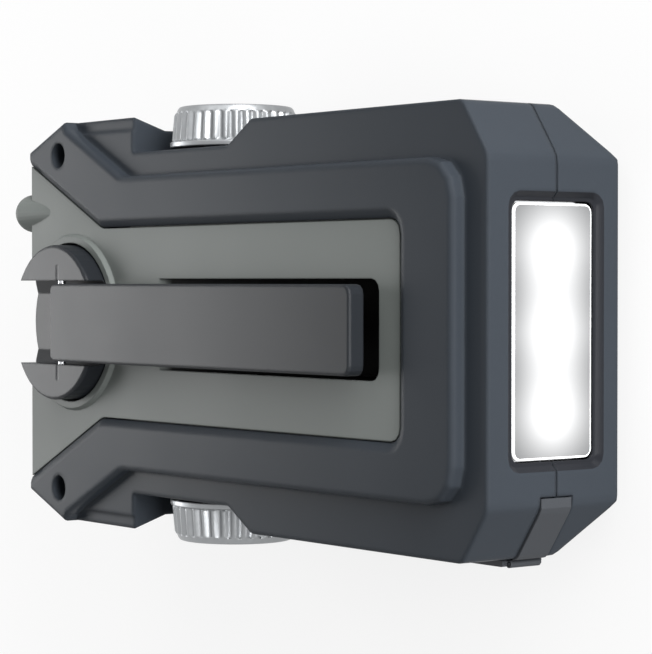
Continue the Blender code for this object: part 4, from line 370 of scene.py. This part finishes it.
def build_glow():
    """Brightness from three hot spots and an even wash."""
    group, given, result = new_group("lamp glow", {"Wash": 0.4, "Spread": 0.009},
                                     {"Colour": "NodeSocketColor"})
    place = add(group, "ShaderNodeTexCoord").outputs["Object"]
    total = given.outputs["Wash"]
    for spot_y in DIODE_YS:
        gap = add(group, "ShaderNodeVectorMath", operation="DISTANCE")
        gap.inputs[1].default_value = (LENS_HIGH.x, spot_y, LAMP_Z)
        share = add(group, "ShaderNodeMath", operation="DIVIDE")
        falling = add(group, "ShaderNodeMath", operation="SUBTRACT", use_clamp=True)
        falling.inputs[0].default_value = 1.0
        softened = add(group, "ShaderNodeMath", operation="POWER")
        softened.inputs[1].default_value = FALLOFF_POWER
        summed = add(group, "ShaderNodeMath", operation="ADD")
        wire(group, place, gap.inputs[0], gap.outputs["Value"], share.inputs[0],
             given.outputs["Spread"], share.inputs[1], share.outputs[0], falling.inputs[1],
             falling.outputs[0], softened.inputs[0], softened.outputs[0], summed.inputs[0],
             total, summed.inputs[1])
        total = summed.outputs[0]
    mixed = add(group, "ShaderNodeCombineColor")
    wire(group, total, mixed.inputs[0], total, mixed.inputs[1], total, mixed.inputs[2],
         mixed.outputs[0], result.inputs["Colour"])
    return group


GLOW = build_glow()
print("lamp glow round", len(DIODE_YS), "diodes")

# %% Glowing plastic
GLOWING_ROUGHNESS = 0.12


def glowing(name, wash, spread, strength, colour):
    """A smooth plastic that shines with the lamp's pattern."""
    material = bpy.data.materials.new(name)
    material.use_nodes = True
    tree = material.node_tree
    shader = tree.nodes["Principled BSDF"]
    shader.inputs["Base Color"].default_value = (*colour, 1)
    shader.inputs["Roughness"].default_value = GLOWING_ROUGHNESS
    shader.inputs["Emission Strength"].default_value = strength
    pattern = add(tree, "ShaderNodeGroup", node_tree=GLOW, Wash=wash, Spread=spread)
    wire(tree, pattern.outputs["Colour"], shader.inputs["Emission Color"])
    return material


LIT_LENS = glowing("lit lens", wash=0.09, spread=0.0145, strength=1.6, colour=(0.05, 0.052, 0.055))
FINISHES["led"] = glowing("lit diodes", wash=1.0, spread=0.004, strength=3.0, colour=(0.95, 0.93, 0.75))
print("glowing finishes:", LIT_LENS.name, "and", FINISHES["led"].name)


# %% [markdown]
# ## Clear pane
# The window over the display is clear plastic. A glass shader would do too, but with full transmission the
# Principled shader gives the same pane, and all the finishes stay on one kind of shader.

# %% Clear pane
ACRYLIC_IOR = 1.49


def clear(name, tint, roughness):
    """A clear plastic."""
    material = bpy.data.materials.new(name)
    material.use_nodes = True
    shader = material.node_tree.nodes["Principled BSDF"]
    shader.inputs["Base Color"].default_value = (*tint, 1)
    shader.inputs["Roughness"].default_value = roughness
    shader.inputs["Transmission Weight"].default_value = 1.0
    shader.inputs["IOR"].default_value = ACRYLIC_IOR
    return material


FINISHES["clear_lens"] = clear("clear pane", (0.93, 0.95, 0.96), 0.04)
print("clear pane made, with an index of", ACRYLIC_IOR)

# %% [markdown]
# ## Finishes onto the model
# The record says which slot each node takes its finish from, so one loop dresses the whole model. Two nodes
# differ from their slot: the lens is lit, and the crank side's shell has painted shade in its recess.

# %% Dress every node
slot_of = {entry["node"]: entry["material_slot"] for entry in frame["record"]["subparts"]}
own_finish = {"lamp_lens": LIT_LENS, "back_panel": FINISHES["shell_with_painted_shade"]}
for node, thing in nodes.items():
    thing.data.materials.clear()
    thing.data.materials.append(own_finish.get(node, FINISHES[slot_of[node]]))
print("nodes dressed:", len(nodes))

# %% [markdown]
# ## Piece helpers
# A finer piece is shaped with bmesh operators, shaded smooth with sharp corners kept, and then tied to the
# body that carries it. Where it stands for a plain solid, it keeps to that solid's space.

# %% Piece helpers
SHARP_ANGLE = 32


def finished(work, name, material, body, *stands_for, sharp=SHARP_ANGLE, slot=None):
    """The mesh of a bmesh as a named object on a body, in place of any plain nodes."""
    bmesh.ops.recalc_face_normals(work, faces=work.faces)
    closed = all(edge.is_manifold for edge in work.edges)
    mesh = bpy.data.meshes.new(name)
    work.to_mesh(mesh)
    work.free()
    mesh.materials.append(material)
    mesh.shade_smooth()
    mesh.set_sharp_from_angle(angle=math.radians(sharp))
    piece = bpy.data.objects.new(name, mesh)
    bpy.context.scene.collection.objects.link(piece)
    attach(piece, body)
    if stands_for:
        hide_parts(*stands_for)
    print("made", name, "with", len(mesh.polygons), "faces, closed:", closed)
    return piece


def broken_edges(work, edges, width, segments):
    """Round a set of edges."""
    bmesh.ops.bevel(work, geom=edges, offset=width, segments=segments, profile=0.5, affect="EDGES",
                    material=-1, clamp_overlap=True)


# %% [markdown]
# ## Silver knobs
# Each knob has a plain ring at its foot, a band of ribs for the fingers and a chamfered face with a shallow
# dish, which the picture leaves to be guessed. A spun profile would be round all the way, so one circle is
# extruded up ring by ring instead. At each ring its points are scaled to the profile, with the points that
# fall between two ribs pulled in.

# %% Silver knobs
RIBS = 36
RIB_DEPTH = 0.00062
RIB_POINT_SHARES = (0.0, 0.0, 0.55, 1.0, 1.0, 0.55)
KNOB_SHARP_ANGLE = 28
# A row of the profile is a height over the foot, a radius, and the share of the ribs' depth that it shows.
KNOB_PROFILE = (
    (0.00000, 0.01335, 0.0), (0.00015, 0.01350, 0.0), (0.00100, 0.01350, 0.0), (0.00115, 0.01335, 0.0),
    (0.00120, 0.01285, 0.0), (0.00150, 0.01310, 1.0), (0.00665, 0.01262, 1.0), (0.00700, 0.01245, 0.6),
    (0.00715, 0.01222, 0.0), (0.00790, 0.01190, 0.0), (0.00828, 0.01160, 0.0), (0.00840, 0.01128, 0.0),
    (0.00836, 0.01075, 0.0), (0.00800, 0.01030, 0.0), (0.00788, 0.00980, 0.0), (0.00784, 0.00300, 0.0))


def silver_knob(name, side):
    """A ribbed knob whose foot is towards the casing, on the +Y side for 1 and the -Y side for -1."""
    low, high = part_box(name)
    foot_y = low.y if side > 0 else high.y
    axis = Vector(((low.x + high.x) / 2, foot_y, (low.z + high.z) / 2))
    work = bmesh.new()
    bmesh.ops.create_circle(work, cap_ends=False, segments=RIBS * len(RIB_POINT_SHARES), radius=1.0)
    rib_place = {vert: index % len(RIB_POINT_SHARES) for index, vert in enumerate(work.verts)}
    ring = list(work.verts)
    bmesh.ops.contextual_create(work, geom=ring)
    edges = list(work.edges)
    for step, (height, radius, rib_share) in enumerate(KNOB_PROFILE):
        if step:
            grown = bmesh.ops.extrude_edge_only(work, edges=edges)["geom"]
            edges = [item for item in grown if isinstance(item, bmesh.types.BMEdge)]
            ring = [item for item in grown if isinstance(item, bmesh.types.BMVert)]
            for vert in ring:
                ends = [edge.other_vert(vert) for edge in vert.link_edges]
                under = min((end for end in ends if end in rib_place),
                            key=lambda end: (end.co.xy - vert.co.xy).length)
                rib_place[vert] = rib_place[under]
        for vert in ring:
            reach = radius - RIB_DEPTH * rib_share * (1 - RIB_POINT_SHARES[rib_place[vert]])
            vert.co.xy = vert.co.xy.normalized() * reach
            vert.co.z = height
    bmesh.ops.contextual_create(work, geom=edges)
    turn = Matrix.Translation(axis) @ Matrix.Rotation(-side * math.pi / 2, 4, "X")
    bmesh.ops.transform(work, matrix=turn, verts=work.verts)
    return finished(work, name + "_turned", FINISHES["silver_knob"], name, name,
                    sharp=KNOB_SHARP_ANGLE, slot="silver_knob")


silver_knob("tuning_knob", 1)
silver_knob("volume_knob", -1)

# %% [markdown]
# ## Lens with a bright rim
# The lens is one moulded pane. Its front edge is bevelled, and that bevel pipes the light round the pane as
# a thin bright line. The line could be a frame of its own, but it is part of the moulding, so the rim is a
# narrow strip in a second finish on the same piece.

# %% Lens
LENS_MARGIN = 0.0009
LENS_CORNER = 0.0016
RIM_WIDTH = 0.00035
LEVEL_GAP = 0.00035
FRONT_NORMAL_X = 0.9
RIM_NORMAL_XS = (0.1, 0.98)
LIT_RIM = glowing("lit rim", wash=0.95, spread=0.010, strength=1.1, colour=(0.9, 0.92, 0.94))


def lens_pane():
    """A rounded pane that faces the nose, with its rim in a second finish."""
    half_width = LENS_HIGH.y - LENS_MARGIN
    half_height = (LENS_HIGH.z - LENS_LOW.z) / 2 - LENS_MARGIN
    size = (LENS_HIGH.x - LENS_LOW.x, 2 * half_width, 2 * half_height)
    work = bmesh.new()
    bmesh.ops.create_cube(work, size=1)
    bmesh.ops.scale(work, verts=work.verts, vec=size)
    bmesh.ops.translate(work, verts=work.verts, vec=((LENS_LOW.x + LENS_HIGH.x) / 2, 0, LAMP_Z))
    corners = [edge for edge in work.edges if abs(edge.verts[0].co.x - edge.verts[1].co.x) > LEVEL_GAP]
    broken_edges(work, corners, LENS_CORNER, segments=8)
    front = [face for face in work.faces if face.normal.x > FRONT_NORMAL_X]
    broken_edges(work, [edge for face in front for edge in face.edges], RIM_WIDTH, segments=2)
    for face in work.faces:
        face.material_index = 1 if RIM_NORMAL_XS[0] < face.normal.x < RIM_NORMAL_XS[1] else 0
    piece = finished(work, "lens_pane", LIT_LENS, "casing", "lamp_lens", slot="clear_lens")
    piece.data.materials.append(LIT_RIM)
    return piece


lens_pane()

# %% [markdown]
# ## Rounded nose
# The long edges round the lamp are generously rounded on the real casing, and they are what catches the
# light. A Bevel modifier would round every edge, so each half of the casing is copied from the plain solid,
# its loose triangles are merged into flat faces, and only the outer edges of the nose are bevelled. A
# Weighted Normal modifier keeps the large faces flat in the shading. The step round the lens looks darker
# in the picture, where it lies in shade, so it gets a darker finish: painted shade.

# %% Nose edges
NOSE_START_X = 0.055
NOSE_FACE_X = 0.0768
SIDE_Y = 0.0385
PARTING_Z = 0.0171
BEZEL_HALF_WIDTH = 0.0262
BEZEL_HALF_HEIGHT = 0.0128
LONG_EDGE = 0.003
CORNER_ANGLE = math.radians(15)
STRAP_LOW, STRAP_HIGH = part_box("port_strap")


def in_bezel(point):
    """Whether a point lies within the outline of the step round the lens."""
    return abs(point.y) < BEZEL_HALF_WIDTH and abs(point.z - LAMP_Z) < BEZEL_HALF_HEIGHT


def on_nose(edge):
    """Whether an edge is one of the long outer edges of the nose."""
    ends = [vert.co for vert in edge.verts]
    outer = all(end.x > NOSE_START_X and (end.x > NOSE_FACE_X or abs(end.y) > SIDE_Y) for end in ends)
    parting = all(abs(end.z - PARTING_Z) < LEVEL_GAP for end in ends)
    strap = all(STRAP_LOW.y - LONG_EDGE < end.y < STRAP_HIGH.y + LONG_EDGE
                and STRAP_LOW.z - LONG_EDGE < end.z < STRAP_HIGH.z + LONG_EDGE for end in ends)
    return (outer and not parting and not strap and not all(in_bezel(end) for end in ends)
            and edge.calc_length() > LONG_EDGE and edge.is_manifold
            and edge.calc_face_angle_signed() > CORNER_ANGLE)


print("nose edges are sought from", NOSE_START_X, "m on")

# %% Rounded nose
NOSE_ROUND = 0.0016
MERGE_GAP = 0.000002
FLAT_ANGLE = math.radians(0.5)
BEZEL_DEPTH = 0.0012
BEZEL_SLACK = 0.0005
CASING_SHARP_ANGLE = 16
LARGE_FACE_WEIGHT = 100
# A darker finish for the step round the lens, as painted shade.
FINISHES["bezel_bead"] = plastic("bezel painted shade", (0.013, 0.014, 0.017), 0.40, gloss=0.08)


def rounded_half(name):
    """A half of the casing with its nose edges rounded."""
    work = bmesh.new()
    work.from_mesh(nodes[name].data)
    bmesh.ops.remove_doubles(work, verts=work.verts, dist=MERGE_GAP)
    bmesh.ops.dissolve_limit(work, angle_limit=FLAT_ANGLE, verts=work.verts, edges=work.edges)
    work.normal_update()
    chosen = [edge for edge in work.edges if on_nose(edge)]
    print(name, "rounds", len(chosen), "edges")
    broken_edges(work, chosen, NOSE_ROUND, segments=4)
    for face in work.faces:
        # Faces of the step round the lens take the darker finish, painted shade.
        centre = face.calc_center_median()
        at_step = NOSE_FACE_X - BEZEL_DEPTH < centre.x < NOSE_FACE_X + BEZEL_SLACK
        face.material_index = 1 if at_step and in_bezel(centre) else 0
    piece = finished(work, name + "_rounded", FINISHES["slate_rubber"], "casing", name,
                     sharp=CASING_SHARP_ANGLE, slot="slate_rubber")
    piece.data.materials.append(FINISHES["bezel_bead"])
    weighted = piece.modifiers.new("flat faces stay flat", "WEIGHTED_NORMAL")
    weighted.keep_sharp = True
    weighted.weight = LARGE_FACE_WEIGHT
    return piece


rounded_half("back_frame")
rounded_half("front_frame")

# %% [markdown]
# ## Numbers on the display
# A plain reflective display shows dark numbers under its window. A text object would need a typeface of
# that look, while such a display really is made of seven strokes. Each stroke is one thin bar with pointed
# ends, laid from a table, and the strokes lie on the display, in the gap under the window.

# %% Display numbers
SHOWN_DIGITS = "10245"
STROKES = {"0": "abcdef", "1": "bc", "2": "abged", "4": "fgbc", "5": "afgcd"}
# A stroke's place is how far across and how far up it lies, in digit widths, and whether it lies level.
STROKE_PLACES = {"a": (0.5, 2, True), "b": (1, 1.5, False), "c": (1, 0.5, False), "d": (0.5, 0, True),
                 "e": (0, 0.5, False), "f": (0, 1.5, False), "g": (0.5, 1, True)}
DIGITS_OFF_CENTRE = 0.001
DIGIT_WIDTH = 0.0036
DIGIT_PITCH = 0.0062
STROKE_WIDTH = 0.0009
STROKE_SEGMENTS = 6
STROKE_TRIM_SHARE = 0.55
TIP_HALF_WIDTH = STROKE_WIDTH / 8
STROKE_ROOM = 0.00008
STROKE_DEPTH_SHARE = 0.9


def stroke_bar(work, level):
    """One bar round the origin, level or upright, as its points."""
    bar = bmesh.ops.create_circle(work, cap_ends=True, segments=STROKE_SEGMENTS,
                                  radius=STROKE_WIDTH / 2)["verts"]
    half_length = DIGIT_WIDTH / 2 - STROKE_WIDTH * STROKE_TRIM_SHARE
    for vert in bar:
        if abs(vert.co.y) < TIP_HALF_WIDTH:
            vert.co.x += math.copysign(half_length, vert.co.x)
        else:
            vert.co.x = math.copysign(half_length, vert.co.x)
    if not level:
        bmesh.ops.rotate(work, verts=bar, matrix=Matrix.Rotation(math.pi / 2, 3, "Z"))
    return bar


def display_numbers():
    """Seven-stroke digits on the display, read from below with +Y up."""
    low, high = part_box("display")
    work = bmesh.new()
    middle_x = (low.x + high.x) / 2 + DIGITS_OFF_CENTRE
    middle_y = (low.y + high.y) / 2
    for place, digit in enumerate(SHOWN_DIGITS):
        origin_x = middle_x + DIGIT_PITCH * (len(SHOWN_DIGITS) / 2 - place) - DIGIT_WIDTH / 2
        for stroke in STROKES[digit]:
            widths_across, widths_up, level = STROKE_PLACES[stroke]
            bmesh.ops.translate(work, verts=stroke_bar(work, level), vec=(
                origin_x - widths_across * DIGIT_WIDTH, middle_y + (widths_up - 1) * DIGIT_WIDTH,
                low.z - STROKE_ROOM))
    grown = bmesh.ops.extrude_face_region(work, geom=list(work.faces))["geom"]
    bmesh.ops.translate(work, verts=[item for item in grown if isinstance(item, bmesh.types.BMVert)],
                        vec=(0, 0, STROKE_ROOM * STROKE_DEPTH_SHARE))
    return finished(work, "display_numbers", FINISHES["black_plastic"], "casing", slot="black_plastic")


display_numbers()


# %% [markdown]
# ## Pale surroundings
# A studio surrounds the object with white. More lamps would make it so and burn out the pale pieces, so the
# floor and the room only look white: to the camera, in the gloss of metal and through a clear pane.

# %% What is looked at
def looked_at(tree):
    """1 for camera, glossy and transmission rays, and 0 for the light that spreads."""
    rays = add(tree, "ShaderNodeLightPath")
    direct = add(tree, "ShaderNodeMath", operation="MAXIMUM")
    either = add(tree, "ShaderNodeMath", operation="MAXIMUM")
    wire(tree, rays.outputs["Is Camera Ray"], direct.inputs[0],
         rays.outputs["Is Glossy Ray"], direct.inputs[1],
         direct.outputs[0], either.inputs[0], rays.outputs["Is Transmission Ray"], either.inputs[1])
    return either.outputs[0]


WHITE = (1, 1, 1, 1)
print("looked-at surroundings are", WHITE[:3])

# %% [markdown]
# ## Floor
# A pale floor that is mostly white to the camera, so that a faint shadow is left in it. It is clear from
# behind, so a view from below still shows the object.

# %% Floor
FLOOR_SIZE = 6.0
FLOOR_WHITE_SHARE = 0.82
FLOOR_COLOUR = (0.86, 0.86, 0.86, 1)
floor_mesh = bpy.data.meshes.new("floor")
sheet = bmesh.new()
bmesh.ops.create_grid(sheet, x_segments=1, y_segments=1, size=FLOOR_SIZE / 2)
sheet.to_mesh(floor_mesh)
sheet.free()
floor = bpy.data.objects.new("floor", floor_mesh)
bpy.context.scene.collection.objects.link(floor)

floor_finish = bpy.data.materials.new("pale floor")
floor_finish.use_nodes = True
tree = floor_finish.node_tree
tree.nodes.remove(tree.nodes["Principled BSDF"])
matt = add(tree, "ShaderNodeBsdfDiffuse", Color=FLOOR_COLOUR)
white = add(tree, "ShaderNodeEmission", Color=WHITE, Strength=1.0)
hidden = add(tree, "ShaderNodeBsdfTransparent")
share = add(tree, "ShaderNodeMath", operation="MULTIPLY")
share.inputs[1].default_value = FLOOR_WHITE_SHARE
blend = add(tree, "ShaderNodeMixShader")
side = add(tree, "ShaderNodeMixShader")
facing = add(tree, "ShaderNodeNewGeometry")
wire(tree, looked_at(tree), share.inputs[0], share.outputs[0], blend.inputs["Fac"],
     matt.outputs[0], blend.inputs[1], white.outputs[0], blend.inputs[2],
     facing.outputs["Backfacing"], side.inputs["Fac"], blend.outputs[0], side.inputs[1],
     hidden.outputs[0], side.inputs[2], side.outputs[0], tree.nodes["Material Output"].inputs["Surface"])
floor_mesh.materials.append(floor_finish)
print("floor", FLOOR_SIZE, "m across")


# %% [markdown]
# ## Lamps and room
# In the picture the flat tops run from a pale sheen at the crank to deep slate at the lamp, and the nose is
# the brightest slate. A small lamp behind the crank end grazes the tops, a soft one stands over the side of
# the tuning knob, and a wide one faces the nose. Area lamps are chosen because their shadows have soft
# edges.

# %% Lamps
def soft_lamp(name, place, aim, width, height, power):
    """A flat lamp that faces a point."""
    data = bpy.data.lights.new(name, "AREA")
    data.shape = "RECTANGLE"
    data.size = width
    data.size_y = height
    data.energy = power
    lamp = bpy.data.objects.new(name, data)
    lamp.location = place
    lamp.rotation_mode = "QUATERNION"
    lamp.rotation_quaternion = (Vector(aim) - Vector(place)).to_track_quat("-Z", "Y")
    bpy.context.scene.collection.objects.link(lamp)
    return lamp


lamps = (
    soft_lamp("sheen lamp", place=(-0.42, 0.0, 0.22), aim=(-0.06, 0, 0.035),
              width=0.2, height=0.2, power=0.9),
    soft_lamp("top lamp", place=(-0.05, 0.55, 0.50), aim=(0, 0, 0),
              width=0.45, height=0.45, power=1.0),
    soft_lamp("nose lamp", place=(0.66, 0.30, 0.17), aim=(0.07, 0, 0.02),
              width=1.5, height=0.34, power=18.0))
print("lamps:", [lamp.name for lamp in lamps])

# %% Room
ROOM_STRENGTH = 0.27
world = bpy.data.worlds.new("pale room")
bpy.context.scene.world = world
world.use_nodes = True
tree = world.node_tree
room = tree.nodes["Background"]
room.inputs["Color"].default_value = WHITE
room.inputs["Strength"].default_value = ROOM_STRENGTH
bright = add(tree, "ShaderNodeBackground", Color=WHITE, Strength=1.0)
blend = add(tree, "ShaderNodeMixShader")
wire(tree, looked_at(tree), blend.inputs["Fac"], room.outputs[0], blend.inputs[1],
     bright.outputs[0], blend.inputs[2], blend.outputs[0], tree.nodes["World Output"].inputs["Surface"])
print("room light:", ROOM_STRENGTH)

# %% [markdown]
# ## Size
# The dressed model has to fill the same box as the imported one.

# %% Size
print("dressing finished")
